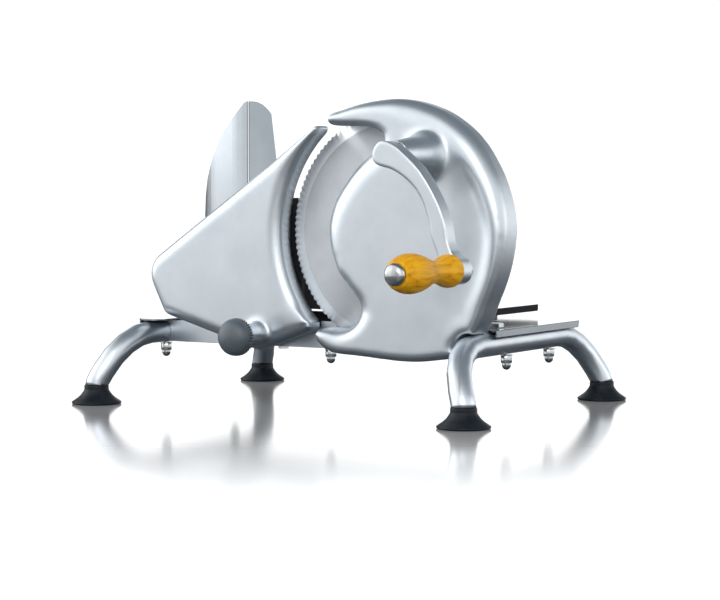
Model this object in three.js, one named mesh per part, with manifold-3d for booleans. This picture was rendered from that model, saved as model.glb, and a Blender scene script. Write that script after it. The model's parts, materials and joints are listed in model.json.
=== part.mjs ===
// Hand crank meat slicer: a toothed round blade in a cast housing, a cast stop plate set by a knob,
// and a sliding food carriage, carried by a sheet base on two bent leg tubes with rubber feet.
// Millimetres, +Z up. The blade turns about the Y axis over x = 0 and cuts in the plane y = 0.
// The operator stands on the -Y side, at the crank; the food lies on the carriage on the +Y side.
import * as THREE from "three";
import { mergeVertices } from "three/addons/utils/BufferGeometryUtils.js";
import Module from "manifold-3d";

const wasm = await Module();
wasm.setup();

// Clearances and facet counts
const GAP = 0.3; // between pieces that touch
const OVERRUN = 1; // how far a cut runs past the face that it opens
const MERGE = 1e-4; // vertices nearer than this are one vertex
const SIDES = { large: 48, middle: 24, small: 12, tube: 12, bore: 8, housing: 128, arm: 60 };

// Legs: two bent tubes with rubber feet
const FOOT = {
  radius: 20.6,
  lip: 1.6,
  waistRadius: 13.6,
  waistHeight: 6.4,
  neckRadius: 9.3,
  neckHeight: 12,
  height: 15.6,
  plugHeight: 9,
};
const LEG = {
  radius: 9.48,
  wall: 1.5,
  height: 56.8, // centre line of the straight stretch
  knee: 17, // the tube leaves the foot straight up to here
  kneeRadius: 18,
  bendRadius: 48.9,
  splay: 17.6, // the straight stretch lies this far inside the feet
  lean: 15, // the bend's corner lies this far inside the feet
  steps: 34,
};
const TUBE_TOP = LEG.height + LEG.radius;
const TUBE_BOTTOM = LEG.height - LEG.radius;

// Blade: a dished disc with a bevelled, toothed rim
const BLADE = {
  radius: 95,
  drop: 8.2, // lowest point of the blade below the centre line of the leg tubes
  teeth: 120,
  toothDepth: 1,
  bevelWidth: 11,
  edge: 0.5,
  thickness: 2,
  rimSet: 1, // how far the back recedes at the inner end of the bevel
  dish: 7, // how far the back recedes at the hub
  hubRadius: 40,
  boreRadius: 12,
};
const AXIS_HEIGHT = LEG.height - BLADE.drop + BLADE.radius; // blade axis above the table

// Gear pair: the crank's pinion drives the gear behind the blade
const GEAR = {
  moduleShare: 0.01579, // of the blade radius
  bladeTeeth: 58,
  pinionTeeth: 36,
  width: 8,
  addendumShare: 0.85, // of the module
  dedendumShare: 1.2, // of the module
  tipShare: 0.17, // half tooth at the tip, of a pitch
  rootShare: 0.3, // half tooth at the root, of a pitch
  hubRadius: 11.7,
  hubLength: 12,
  screwCircle: 25,
  screwRadius: 1.8,
  screwHeadRadius: 3.2,
  screwHeadHeight: 1.6,
  screwDepth: 6,
  screwCount: 3,
};
const MODULE = GEAR.moduleShare * BLADE.radius;
const CENTRE_DISTANCE = (MODULE * (GEAR.bladeTeeth + GEAR.pinionTeeth)) / 2;
const MESH_ANGLE = THREE.MathUtils.degToRad(54.9); // direction from the blade axis to the crank axis
const CRANK_X = CENTRE_DISTANCE * Math.cos(MESH_ANGLE);
const CRANK_Z = AXIS_HEIGHT + CENTRE_DISTANCE * Math.sin(MESH_ANGLE);

// Axle, bush and retaining screw that carry the blade
const AXLE = { radius: 5, bushWall: 2.4, bossRadius: 11, seatDepth: 4, screwRadius: 2.5, screwDepth: 10 };
const AXLE_CAP = { radius: 10.5, height: 3, slotWidth: 1.6, slotDepth: 1 };

// Housing: cast shell round the blade, open towards the stop plate
const HOUSING = {
  front: 28, // front face, in front of the cutting plane
  back: 1, // back edge, in front of the cutting plane
  wall: 6,
  edge: 4.5, // rounding along the front edge
  bladeClearance: 2,
  skirtBack: 11, // how far the wall round the disc stays in front of the cutting plane
  rimBack: 6, // the same at the blade's rim
  skirtRadius: 62,
  gearClearance: 2,
  chamberSide: 5, // the hollow of the right half starts here
  padRise: 1.7, // top of the pad above the centre line of the leg tubes
  padHeight: 6.5,
  padLeftShare: -0.59, // of the blade radius
  padRightShare: -0.484, // of the blade radius
};
const PAD = {
  left: HOUSING.padLeftShare * BLADE.radius,
  right: HOUSING.padRightShare * BLADE.radius,
  top: LEG.height + HOUSING.padRise,
  bottom: LEG.height + HOUSING.padRise - HOUSING.padHeight,
};
// Outline of the housing about the blade axis, as shares of the blade radius
const HOUSING_OUTLINE_SHARES = [
  [-0.541, 0.916], [-0.532, 0.95], [-0.495, 0.971], [-0.408, 0.995], [-0.3, 1.026],
  [-0.202, 1.048], [-0.05, 1.068], [0.115, 1.075], [0.287, 1.05], [0.42, 1.01],
  [0.535, 0.963], [0.665, 0.884], [0.78, 0.792], [0.88, 0.68], [0.961, 0.556],
  [1.03, 0.425], [1.082, 0.28], [1.112, 0.15], [1.123, 0.01], [1.107, -0.15],
  [1.071, -0.308], [1.022, -0.448], [0.967, -0.575], [0.918, -0.7], [0.852, -0.81],
  [0.784, -0.905], [0.695, -0.998], [0.589, -1.023],
  [0.484, -1.038], [0.379, -1.051], [0.263, -1.057], [0.105, -1.053], [-0.063, -1.041],
  [-0.253, -1.027], [-0.432, -1.017], [-0.547, -0.984], [-0.626, -0.926], [-0.663, -0.863],
  [-0.621, -0.815], [-0.526, -0.808], [-0.4, -0.815], [-0.3, -0.779], [-0.237, -0.684],
  [-0.246, -0.574], [-0.326, -0.456], [-0.432, -0.337], [-0.479, -0.244], [-0.522, -0.123],
  [-0.54, 0.011], [-0.529, 0.105], [-0.484, 0.238], [-0.407, 0.36], [-0.263, 0.531],
  [-0.116, 0.647], [-0.032, 0.716], [-0.02, 0.775], [-0.06, 0.825], [-0.15, 0.848],
  [-0.266, 0.854], [-0.4, 0.86], [-0.486, 0.871], [-0.526, 0.888],
];

// Crank: boss on the housing, shaft, bushes, arm
const BOSS = { reach: 73, baseRadius: 19, waistRadius: 16, waist: 36, tipRadius: 10.4 };
const SHAFT = { radius: 6, bushWall: 2, bushLength: 20, armSeat: 10, pinionBack: 0.5 };
const ARM = { length: 100.5, thickness: 15, edge: 1.5, screwRadius: 2 };
// Outline of the arm about the crank axis, as shares of the crank length
const ARM_OUTLINE_SHARES = [
  [-0.109, -0.01], [-0.085, 0.065], [-0.03, 0.101], [0.064, 0.075], [0.149, 0.015],
  [0.287, -0.114], [0.43, -0.328], [0.5, -0.496], [0.532, -0.647], [0.575, -0.728], [0.625, -0.752],
  [0.658, -0.838], [0.637, -0.911], [0.562, -0.941], [0.488, -0.911], [0.458, -0.838],
  [0.438, -0.726], [0.387, -0.597], [0.362, -0.475], [0.307, -0.331], [0.219, -0.215],
  [0.064, -0.113], [-0.022, -0.088], [-0.085, -0.064],
];
const EYE_SHARES = [0.562, -0.838]; // centre of the handle's eye

// Handle: turned grip on a pin, held by a domed cap
const HANDLE = {
  length: 80,
  pinRadius: 3.5,
  boreRadius: 3.9,
  beadRadius: 12.3,
  neckRadius: 8.3,
  bulgeRadius: 14.5,
  endRadius: 9,
  capRadius: 8,
  capHeight: 5.5,
};
// Turned profile of the grip: share of its length, then the named radius
const GRIP_PROFILE_SHARES = [
  [0, 0.86, "beadRadius"], [0.03, 0.97, "beadRadius"], [0.075, 1, "beadRadius"],
  [0.13, 0.95, "beadRadius"], [0.2, 0.8, "beadRadius"],
  [0.27, 1.05, "neckRadius"], [0.335, 1, "neckRadius"], [0.42, 1.1, "neckRadius"],
  [0.53, 0.84, "bulgeRadius"], [0.66, 0.97, "bulgeRadius"], [0.76, 1, "bulgeRadius"],
  [0.86, 0.94, "bulgeRadius"],
  [0.94, 0.8, "bulgeRadius"], [1, 1, "endRadius"],
];

// Stop plate: cast plate with a thick rim, its edge hollowed round the blade
const STOP = {
  front: 21,
  back: 1,
  edge: 1.5,
  dishDepth: 8, // pocket in the back
  dishShare: 0.8, // size of the pocket against the outline
  hollowWall: 7, // left between the pocket and the hollow edge
  arcClearance: 10, // between the blade's radius and that of the hollow edge
  arcX: 6.6,
  arcZ: -1.6,
  arcFrom: 132,
  arcTo: 224,
  arcSteps: 22,
  cornerSteps: 5,
  travel: 15,
};
// Corners of the stop plate about the blade axis, and their radii, as shares of the blade radius
const STOP_CORNER_SHARES = [
  [-0.6, -0.79, 0.032], [-1.284, -1.034, 0.168], [-2.258, -0.75, 0.095], [-2.47, -0.325, 0.211],
  [-0.583, 0.937, 0.025],
];

// Thickness setting: knob, spindle, guide pins
const KNOB = {
  leftShare: 1.242, // place left of the blade axis, of the blade radius
  rise: 2, // axis above the centre line of the leg tubes
  radius: 15,
  rim: 11,
  dome: 4.5,
  ribCount: 40,
  ribDepth: 0.8,
  front: 47,
  bossRadius: 10,
};
const KNOB_X = -KNOB.leftShare * BLADE.radius;
const KNOB_Z = LEG.height + KNOB.rise;
const SPINDLE = { radius: 4, clearRadius: 4.3, back: 24 };
const PIN = { radius: 3, back: 32, depth: 16, spacing: 19 };
const PIN_X = [KNOB_X - PIN.spacing, KNOB_X + PIN.spacing];

// Stance: where the tubes and feet stand
const SEAT_SHARE = 0.803; // place of the right tube, under the housing's seat, of the blade radius
const STANCE = { width: 307, front: -64, back: 180.2 };
const TUBE_X = { left: SEAT_SHARE * BLADE.radius - STANCE.width, right: SEAT_SHARE * BLADE.radius };
const FEET = {
  left: TUBE_X.left - LEG.splay,
  right: TUBE_X.right + LEG.splay,
  front: STANCE.front,
  back: STANCE.back,
};

// Base plate: folded sheet on the tubes
const SHEET = 1.5;
const PLATE = {
  left: TUBE_X.left - LEG.radius - GAP - SHEET,
  right: TUBE_X.right + LEG.radius + GAP + SHEET,
  front: 4,
  back: 155,
  lip: 5.6,
  leftEar: -20,
  leftEarWidth: 27,
  rightEar: 1.5,
  rightEarWidth: 5,
  corner: 6,
};
const PLATE_BOTTOM = TUBE_TOP + GAP;
const PLATE_TOP = PLATE_BOTTOM + SHEET;

// Cross bar that carries the stop plate and braces the housing
const BAR = { lap: 4, front: 2, back: 14, drop: 8.4 };
const BAR_BOTTOM = LEG.height - BAR.drop;
const BAR_RIGHT = PAD.right + BAR.lap;
const BAR_TOP = PLATE_BOTTOM - GAP;
const BLOCK = { width: 15, back: 3.4, front: 0.7, height: 4, drop: 3 };
const BLOCK_X = [PAD.left - BLOCK.width, PAD.left];

// Studs under the plate with cap nuts below the tubes and the bar
const STUD = { radius: 2.5, clearRadius: 2.8 };
const NUT = {
  across: 8,
  height: 6,
  domeRadius: 3.6,
  domeHeight: 5.4,
  washerRadius: 5,
  washerHeight: 0.8,
  well: 7.5,
};
const FIXINGS = {
  right_front: { x: TUBE_X.right, y: 39.2, seat: TUBE_BOTTOM },
  right_back: { x: TUBE_X.right, y: 115, seat: TUBE_BOTTOM },
  left: { x: TUBE_X.left, y: 8.4, seat: TUBE_BOTTOM },
  left_back: { x: TUBE_X.left, y: 110, seat: TUBE_BOTTOM },
  centre: { x: (2 * BLOCK_X[0] + BLOCK_X[1]) / 3, y: (BAR.front + BAR.back) / 2, seat: BAR_BOTTOM },
};

// Screws that fasten the housing and the bar
const SEAT_SCREW = { y: -9, radius: 2.5, headRadius: 4, headHeight: 3.5, accessRadius: 5.5, reach: 13 };
const PAD_SCREW = { radius: 1.8, headRadius: 3.2, headHeight: 2.5, reach: 10 };
const PAD_SCREW_XZ = [(PAD.left + PAD.right) / 2, (PAD.top + PAD.bottom) / 2];
const CLAMP_SCREW = { radius: 2.5, headRadius: 4.3, headHeight: 2, reach: 4 };
const CLAMP_X = KNOB_X + PIN.spacing / 3;

// Carriage: folded tray with an upright fence, on a rail
const RAIL = { inset: 11, y: 30, width: 8, height: 3.5, rivetRadius: 2, rivetInset: 24 };
const RAIL_X = [PLATE.left + RAIL.inset, PLATE.right - RAIL.inset];
const TRAY = {
  leftShare: 1.535, // fence left of the blade axis, of the blade radius
  rightShare: 0.337, // edge right of the blade axis, of the blade radius
  front: 4,
  back: 184,
  rise: 10, // tray top above the base plate
  sheet: 1.2,
  lip: 5.5,
};
const TRAY_X = [-TRAY.leftShare * BLADE.radius, TRAY.rightShare * BLADE.radius];
const TRAY_TOP = PLATE_TOP + TRAY.rise;
const FENCE = { height: 170, front: 8, back: 103 };
// Outline of the fence: share of its depth, share of its height above the tray
const FENCE_OUTLINE_SHARES = [
  [1, 0], [1, 0.06], [0.98, 0.25], [0.9, 0.34], [0.72, 0.42], [0.56, 0.47], [0.49, 0.53],
  [0.415, 0.751], [0.345, 0.945], [0.318, 0.957], [0.287, 0.968], [0.24, 0.981],
  [0.193, 0.991], [0.131, 0.998], [0.08, 1], [0, 1], [0, 0],
];
const RUNNER = { inset: 6, frontY: 18, frontWidth: 24, backY: 101, backWidth: 12 };
const GUARD = { reach: 52, front: 6.5, flange: 14, bow: 12, steps: 10 };
// Curved edge of the guard: share of its reach to the left, share of its height
const GUARD_EDGE_SHARES = [
  [0, 1], [0.05, 0.995], [0.141, 0.967], [0.296, 0.92], [0.462, 0.869], [0.618, 0.81],
  [0.745, 0.745], [0.845, 0.685], [0.915, 0.632], [0.972, 0.55], [0.995, 0.461], [1, 0.38],
  [0.985, 0.25], [0.94, 0.12], [0.88, 0],
];
const RIVET = { radius: 1.6, headRadius: 3, headHeight: 1, y: 14 };
const RIVET_HEIGHT_SHARES = [0.15, 0.4];

// Pusher: plate with a spiked face that slides along the fence
const PUSHER = {
  width: 100,
  front: 10,
  thickness: 4,
  bottom: 1,
  height: 90,
  arm: 3,
  armLength: 34,
  studRadius: 3,
  studY: 34,
  slotHeight: 34,
  travel: 50,
  knobRadius: 9,
  knobLength: 12,
  ribCount: 5,
  ribDepth: 1.2,
};

const MATERIALS = {
  cast: { color: 0xb4bac0, roughness: 0.45, metalness: 0.85 },
  steel: { color: 0xc9cdd0, roughness: 0.22, metalness: 1 },
  blade: { color: 0xb9bec2, roughness: 0.28, metalness: 1 },
  tube: { color: 0xa9afb4, roughness: 0.42, metalness: 0.9 },
  chrome: { color: 0xdadde0, roughness: 0.1, metalness: 1 },
  black: { color: 0x17181a, roughness: 0.5, metalness: 0 },
  rubber: { color: 0x141518, roughness: 0.8, metalness: 0 },
  wood: { color: 0xb8730f, roughness: 0.3, metalness: 0 },
  brass: { color: 0xb49a55, roughness: 0.35, metalness: 1 },
};

const slicer = new THREE.Group();
const assembly = new THREE.Group();
slicer.add(assembly);

// Turns a closed geometry into a solid, with its faces pointing out
function solidOf(geometry) {
  const flat = geometry.index ? geometry.toNonIndexed() : geometry;
  const plain = new THREE.BufferGeometry();
  plain.setAttribute("position", flat.getAttribute("position"));
  const merged = mergeVertices(plain, MERGE);
  const corners = merged.index.array;
  const kept = [];
  for (let i = 0; i < corners.length; i += 3) {
    const [a, b, c] = [corners[i], corners[i + 1], corners[i + 2]];
    if (a !== b && b !== c && c !== a) kept.push(a, b, c);
  }
  const build = (indices) =>
    new wasm.Manifold(
      new wasm.Mesh({
        numProp: 3,
        vertProperties: new Float32Array(merged.attributes.position.array),
        triVerts: new Uint32Array(indices),
      }),
    );
  const made = build(kept);
  return made.volume() < 0 ? build(kept.reverse()) : made;
}

// Adds a solid to the assembly as a named mesh
function addPart(name, solid, look) {
  const mesh = solid.getMesh();
  const geometry = new THREE.BufferGeometry();
  const places = new Float32Array(mesh.vertProperties);
  geometry.setAttribute("position", new THREE.BufferAttribute(places, mesh.numProp));
  geometry.setIndex(new THREE.BufferAttribute(new Uint32Array(mesh.triVerts), 1));
  geometry.computeVertexNormals();
  const part = new THREE.Mesh(geometry, new THREE.MeshStandardMaterial(MATERIALS[look]));
  part.name = name;
  assembly.add(part);
  return part;
}

// Profile of a dome: shares of its radius and of its height
const DOME_SHARES = [[1, 0.3], [0.8, 0.75], [0.45, 0.95], [0, 1]];
function domeProfile(radius, base, height) {
  return [[0, base], [radius, base], ...DOME_SHARES.map(([r, h]) => [r * radius, base + h * height])];
}

const join = (solids) => solids.reduce((sum, next) => sum.add(next));
const cut = (solid, tools) => tools.reduce((rest, tool) => rest.subtract(tool), solid);

// How an outline's two coordinates and its depth lie for each extrusion axis
const frameOf = (a, b, depth) =>
  new THREE.Matrix4().makeBasis(new THREE.Vector3(...a), new THREE.Vector3(...b), new THREE.Vector3(...depth));
const FRAMES = {
  x: () => frameOf([0, 1, 0], [0, 0, 1], [1, 0, 0]),
  y: () => frameOf([1, 0, 0], [0, 0, 1], [0, -1, 0]),
  z: () => frameOf([1, 0, 0], [0, 1, 0], [0, 0, 1]),
};

// Extrudes an outline between two places on an axis: x takes (y, z) points, y takes (x, z), z takes (x, y)
function slab(axis, outline, from, to, edge = 0) {
  const shape = new THREE.Shape(outline.map(([a, b]) => new THREE.Vector2(a, b)));
  const geometry = new THREE.ExtrudeGeometry(shape, {
    depth: to - from - 2 * edge,
    bevelEnabled: edge > 0,
    bevelThickness: edge,
    bevelSize: edge,
    bevelOffset: -edge,
    bevelSegments: 2,
  });
  geometry.translate(0, 0, edge);
  if (axis === "y") geometry.translate(0, 0, -to);
  else geometry.translate(0, 0, from);
  geometry.applyMatrix4(FRAMES[axis]());
  return solidOf(geometry);
}

function box(x, y, z) {
  const geometry = new THREE.BoxGeometry(x[1] - x[0], y[1] - y[0], z[1] - z[0]);
  geometry.translate((x[0] + x[1]) / 2, (y[0] + y[1]) / 2, (z[0] + z[1]) / 2);
  return solidOf(geometry);
}

// Turns a geometry made along Y onto an axis, then moves it to a place
function aim(geometry, axis, place) {
  if (axis === "z") geometry.rotateX(Math.PI / 2);
  if (axis === "x") geometry.rotateZ(-Math.PI / 2);
  geometry.translate(...place);
  return solidOf(geometry);
}

// A cylinder between two places on an axis; centre holds the other two coordinates in X, Y, Z order
function rod(axis, centre, radius, from, to, sides = SIDES.small) {
  const geometry = new THREE.CylinderGeometry(radius, radius, to - from, sides);
  const middle = (from + to) / 2;
  const place = { x: [middle, ...centre], y: [centre[0], middle, centre[1]], z: [...centre, middle] }[axis];
  return aim(geometry, axis, place);
}

// A turned solid; the profile is a list of [radius, place on the axis]
function turned(axis, place, profile, sides = SIDES.middle) {
  const points = profile.map(([r, along]) => new THREE.Vector2(r, along));
  return aim(new THREE.LatheGeometry(points, sides), axis, place);
}

// A closed smooth outline through points given as shares of a size
function smoothOutline(shares, size, count, x = 0, z = 0) {
  const points = shares.map(([a, b]) => new THREE.Vector3(a * size + x, b * size + z, 0));
  const curve = new THREE.CatmullRomCurve3(points, true, "centripetal");
  return curve.getSpacedPoints(count).slice(0, -1).map((p) => [p.x, p.y]);
}

// Replaces a corner by an arc of a given radius
function roundCorner(before, corner, after, radius, steps) {
  const at = new THREE.Vector2(...corner);
  const back = new THREE.Vector2(...before).sub(at).normalize();
  const forth = new THREE.Vector2(...after).sub(at).normalize();
  const half = Math.acos(THREE.MathUtils.clamp(back.dot(forth), -1, 1)) / 2;
  const middle = back.clone().add(forth).normalize();
  const centre = at.clone().addScaledVector(middle, radius / Math.sin(half));
  const start = at.clone().addScaledVector(back, radius / Math.tan(half)).sub(centre);
  const turn = (Math.PI - 2 * half) * Math.sign(start.cross(at.clone().sub(centre)));
  const points = [];
  for (let i = 0; i <= steps; i += 1) {
    const p = start.clone().rotateAround(new THREE.Vector2(), (turn * i) / steps).add(centre);
    points.push([p.x, p.y]);
  }
  return points;
}

// A bend between two straight stretches of a tube
class Bend extends THREE.Curve {
  constructor(centre, from, to) {
    super();
    this.centre = centre;
    this.from = from;
    this.to = to;
    this.angle = from.angleTo(to);
  }

  getPoint(t, target = new THREE.Vector3()) {
    const a = Math.sin((1 - t) * this.angle) / Math.sin(this.angle);
    const b = Math.sin(t * this.angle) / Math.sin(this.angle);
    return target.copy(this.centre).addScaledVector(this.from, a).addScaledVector(this.to, b);
  }
}

// A path through corners, each rounded to its own radius
function bentPath(corners, radii) {
  const path = new THREE.CurvePath();
  let start = corners[0];
  radii.forEach((radius, i) => {
    const corner = corners[i + 1];
    const back = corners[i].clone().sub(corner).normalize();
    const forth = corners[i + 2].clone().sub(corner).normalize();
    const half = back.angleTo(forth) / 2;
    const inward = back.clone().add(forth).normalize();
    const centre = corner.clone().addScaledVector(inward, radius / Math.sin(half));
    const enter = corner.clone().addScaledVector(back, radius / Math.tan(half));
    const leave = corner.clone().addScaledVector(forth, radius / Math.tan(half));
    path.add(new THREE.LineCurve3(start, enter));
    path.add(new Bend(centre, enter.clone().sub(centre), leave.clone().sub(centre)));
    start = leave;
  });
  path.add(new THREE.LineCurve3(start, corners[corners.length - 1]));
  return path;
}

function sweep(path, radius, sides) {
  const section = new THREE.Shape(
    Array.from({ length: sides }, (_, i) => {
      const angle = (2 * Math.PI * i) / sides;
      return new THREE.Vector2(radius * Math.cos(angle), radius * Math.sin(angle));
    }),
  );
  const along = { steps: LEG.steps, extrudePath: path, bevelEnabled: false };
  return solidOf(new THREE.ExtrudeGeometry(section, along));
}

// Spur gear outline: four points a tooth, with one tooth pointing along the given angle
function gearOutline(teeth, angle, x, z) {
  const pitchRadius = (MODULE * teeth) / 2;
  const tip = pitchRadius + MODULE * GEAR.addendumShare;
  const root = pitchRadius - MODULE * GEAR.dedendumShare;
  const pitch = (2 * Math.PI) / teeth;
  const points = [];
  for (let i = 0; i < teeth; i += 1) {
    const middle = angle + i * pitch;
    const corners = [
      [root, -GEAR.rootShare],
      [tip, -GEAR.tipShare],
      [tip, GEAR.tipShare],
      [root, GEAR.rootShare],
    ];
    for (const [radius, share] of corners) {
      const a = middle + share * pitch;
      points.push([x + radius * Math.cos(a), z + radius * Math.sin(a)]);
    }
  }
  return points;
}

// Blade and what turns with it
const BLADE_HUB_FRONT = -BLADE.dish - BLADE.thickness;
const BLADE_AXIS = [0, 0, AXIS_HEIGHT];

function makeBlade() {
  const inner = BLADE.radius - BLADE.bevelWidth;
  const overlap = inner - OVERRUN;
  const dish = turned("y", BLADE_AXIS, [
    [BLADE.boreRadius, -BLADE.dish],
    [BLADE.hubRadius, -BLADE.dish],
    [inner, -BLADE.rimSet],
    [inner, -BLADE.rimSet - BLADE.thickness],
    [BLADE.hubRadius, BLADE_HUB_FRONT],
    [BLADE.boreRadius, BLADE_HUB_FRONT],
    [BLADE.boreRadius, -BLADE.dish],
  ], SIDES.large);
  const rimPoints = [
    [overlap, -BLADE.rimSet - BLADE.edge],
    [BLADE.radius, 0],
    [BLADE.radius, -BLADE.edge],
    [overlap, -BLADE.rimSet - BLADE.thickness],
    [overlap, -BLADE.rimSet - BLADE.edge],
  ];
  const rim = new THREE.LatheGeometry(rimPoints.map(([r, y]) => new THREE.Vector2(r, y)), 2 * BLADE.teeth);
  const place = rim.getAttribute("position");
  for (let i = 0; i < place.count; i += 1) {
    const radius = Math.hypot(place.getX(i), place.getZ(i));
    const step = Math.round((Math.atan2(place.getZ(i), place.getX(i)) * BLADE.teeth) / Math.PI);
    if (radius < BLADE.radius - MERGE * BLADE.radius || step % 2 === 0) continue;
    const share = 1 - BLADE.toothDepth / BLADE.radius;
    place.setXYZ(i, place.getX(i) * share, place.getY(i), place.getZ(i) * share);
  }
  const holes = gearScrewPlaces().map((centre) =>
    rod("y", centre, GEAR.screwRadius + GAP, BLADE_HUB_FRONT - OVERRUN, -BLADE.dish + OVERRUN));
  return cut(aim(rim, "y", BLADE_AXIS).add(dish), holes);
}

function gearScrewPlaces() {
  return Array.from({ length: GEAR.screwCount }, (_, i) => {
    const angle = Math.PI / 2 + (2 * Math.PI * i) / GEAR.screwCount;
    return [GEAR.screwCircle * Math.cos(angle), AXIS_HEIGHT + GEAR.screwCircle * Math.sin(angle)];
  });
}

addPart("blade", makeBlade(), "blade");

const gearBack = BLADE_HUB_FRONT - GAP;
const gearFront = gearBack - GEAR.width;
const hubBack = gearFront + GEAR.hubLength - GAP;
const bushOuter = AXLE.radius + GAP + AXLE.bushWall;
const axisXZ = [0, AXIS_HEIGHT];
const bladeGear = cut(
  slab("y", gearOutline(GEAR.bladeTeeth, MESH_ANGLE, 0, AXIS_HEIGHT), gearFront, gearBack)
    .add(rod("y", axisXZ, GEAR.hubRadius, gearFront - GAP, hubBack, SIDES.middle)),
  [
    rod("y", axisXZ, bushOuter + GAP, gearFront - OVERRUN, hubBack + OVERRUN, SIDES.middle),
    ...gearScrewPlaces().map((centre) =>
      rod("y", centre, GEAR.screwRadius + GAP, gearBack - GEAR.screwDepth - GAP, gearBack + OVERRUN)),
  ],
);
addPart("blade_gear", bladeGear, "black");
addPart("blade_bush", cut(rod("y", axisXZ, bushOuter, gearFront - GAP, hubBack, SIDES.middle), [
  rod("y", axisXZ, AXLE.radius + GAP, gearFront - OVERRUN, hubBack + OVERRUN, SIDES.middle),
]), "brass");
gearScrewPlaces().forEach((centre, i) => {
  const head = -BLADE.dish + GAP;
  const screw = rod("y", centre, GEAR.screwRadius, gearBack - GEAR.screwDepth, head)
    .add(rod("y", centre, GEAR.screwHeadRadius, head, head + GEAR.screwHeadHeight));
  addPart("gear_screw_" + (i + 1), screw, "steel");
});

// Axle seated in the housing, and the slotted screw that keeps the blade on it
const wallBack = -HOUSING.front + HOUSING.wall;
const axleFront = wallBack - AXLE.seatDepth + GAP;
addPart("blade_axle", cut(rod("y", axisXZ, AXLE.radius, axleFront, hubBack, SIDES.middle), [
  rod("y", axisXZ, AXLE.screwRadius + GAP, hubBack - AXLE.screwDepth - GAP, hubBack + OVERRUN),
]), "steel");
const capFront = hubBack + GAP;
const capBack = capFront + AXLE_CAP.height;
addPart("blade_screw", cut(
  rod("y", axisXZ, AXLE_CAP.radius, capFront, capBack, SIDES.middle)
    .add(rod("y", axisXZ, AXLE.screwRadius, hubBack - AXLE.screwDepth, capFront + OVERRUN)),
  [box(
    [-AXLE_CAP.slotWidth / 2, AXLE_CAP.slotWidth / 2],
    [capBack - AXLE_CAP.slotDepth, capBack + OVERRUN],
    [AXIS_HEIGHT - AXLE_CAP.radius - OVERRUN, AXIS_HEIGHT + AXLE_CAP.radius + OVERRUN],
  )],
), "chrome");

// Leg tubes: centre line of one side
function legPath(side) {
  const foot = FEET[side];
  const top = TUBE_X[side];
  const corners = [
    new THREE.Vector3(foot, FEET.front, FOOT.height - FOOT.plugHeight),
    new THREE.Vector3(foot, FEET.front, LEG.knee),
    new THREE.Vector3(top, FEET.front + LEG.lean, LEG.height),
    new THREE.Vector3(top, FEET.back - LEG.lean, LEG.height),
    new THREE.Vector3(foot, FEET.back, LEG.knee),
    new THREE.Vector3(foot, FEET.back, FOOT.height - FOOT.plugHeight),
  ];
  return bentPath(corners, [LEG.kneeRadius, LEG.bendRadius, LEG.bendRadius, LEG.kneeRadius]);
}

const TUBES = { left: legPath("left"), right: legPath("right") };
const TUBE_CLEARANCE = {
  left: sweep(TUBES.left, LEG.radius + GAP, SIDES.tube),
  right: sweep(TUBES.right, LEG.radius + GAP, SIDES.tube),
};
const studHole = ({ x, y }) => rod("z", [x, y], STUD.clearRadius, TUBE_BOTTOM - OVERRUN, TUBE_TOP + OVERRUN);
const aboveFeet = box(
  [FEET.left - FOOT.radius, FEET.right + FOOT.radius],
  [FEET.front - FOOT.radius, FEET.back + FOOT.radius],
  [FOOT.height + GAP, TUBE_TOP + OVERRUN],
);

function makeLegTube(side, holes) {
  const outer = sweep(TUBES[side], LEG.radius, SIDES.tube);
  const bore = sweep(TUBES[side], LEG.radius - LEG.wall, SIDES.bore);
  return cut(outer, [bore, ...holes]).intersect(aboveFeet);
}

const seatY = SEAT_SCREW.y;
addPart("left_leg_tube", makeLegTube("left", [
  studHole(FIXINGS.left),
  studHole(FIXINGS.left_back),
]), "tube");
addPart("right_leg_tube", makeLegTube("right", [
  studHole(FIXINGS.right_front),
  studHole(FIXINGS.right_back),
  rod("z", [TUBE_X.right, seatY], SEAT_SCREW.radius + GAP, LEG.height, TUBE_TOP + OVERRUN),
  rod("z", [TUBE_X.right, seatY], SEAT_SCREW.accessRadius, TUBE_BOTTOM - OVERRUN, LEG.height),
]), "tube");

// Rubber feet: flared, with a plug that goes up into the tube
function makeFoot(x, y, side) {
  const flare = turned("z", [x, y, 0], [
    [0, 0],
    [FOOT.radius - FOOT.lip, 0],
    [FOOT.radius, FOOT.lip],
    [FOOT.waistRadius, FOOT.waistHeight],
    [FOOT.neckRadius, FOOT.neckHeight],
    [FOOT.neckRadius, FOOT.height],
    [0, FOOT.height],
  ], SIDES.middle);
  const plugSpace = box(
    [x - FOOT.radius, x + FOOT.radius],
    [y - FOOT.radius, y + FOOT.radius],
    [FOOT.neckHeight, FOOT.height + FOOT.plugHeight],
  );
  const plug = sweep(TUBES[side], LEG.radius - LEG.wall - 2 * GAP, SIDES.bore).intersect(plugSpace);
  return flare.add(plug);
}

for (const side of ["left", "right"]) {
  for (const end of ["front", "back"]) {
    addPart("foot_" + end + "_" + side, makeFoot(FEET[side], FEET[end], side), "rubber");
  }
}

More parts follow.
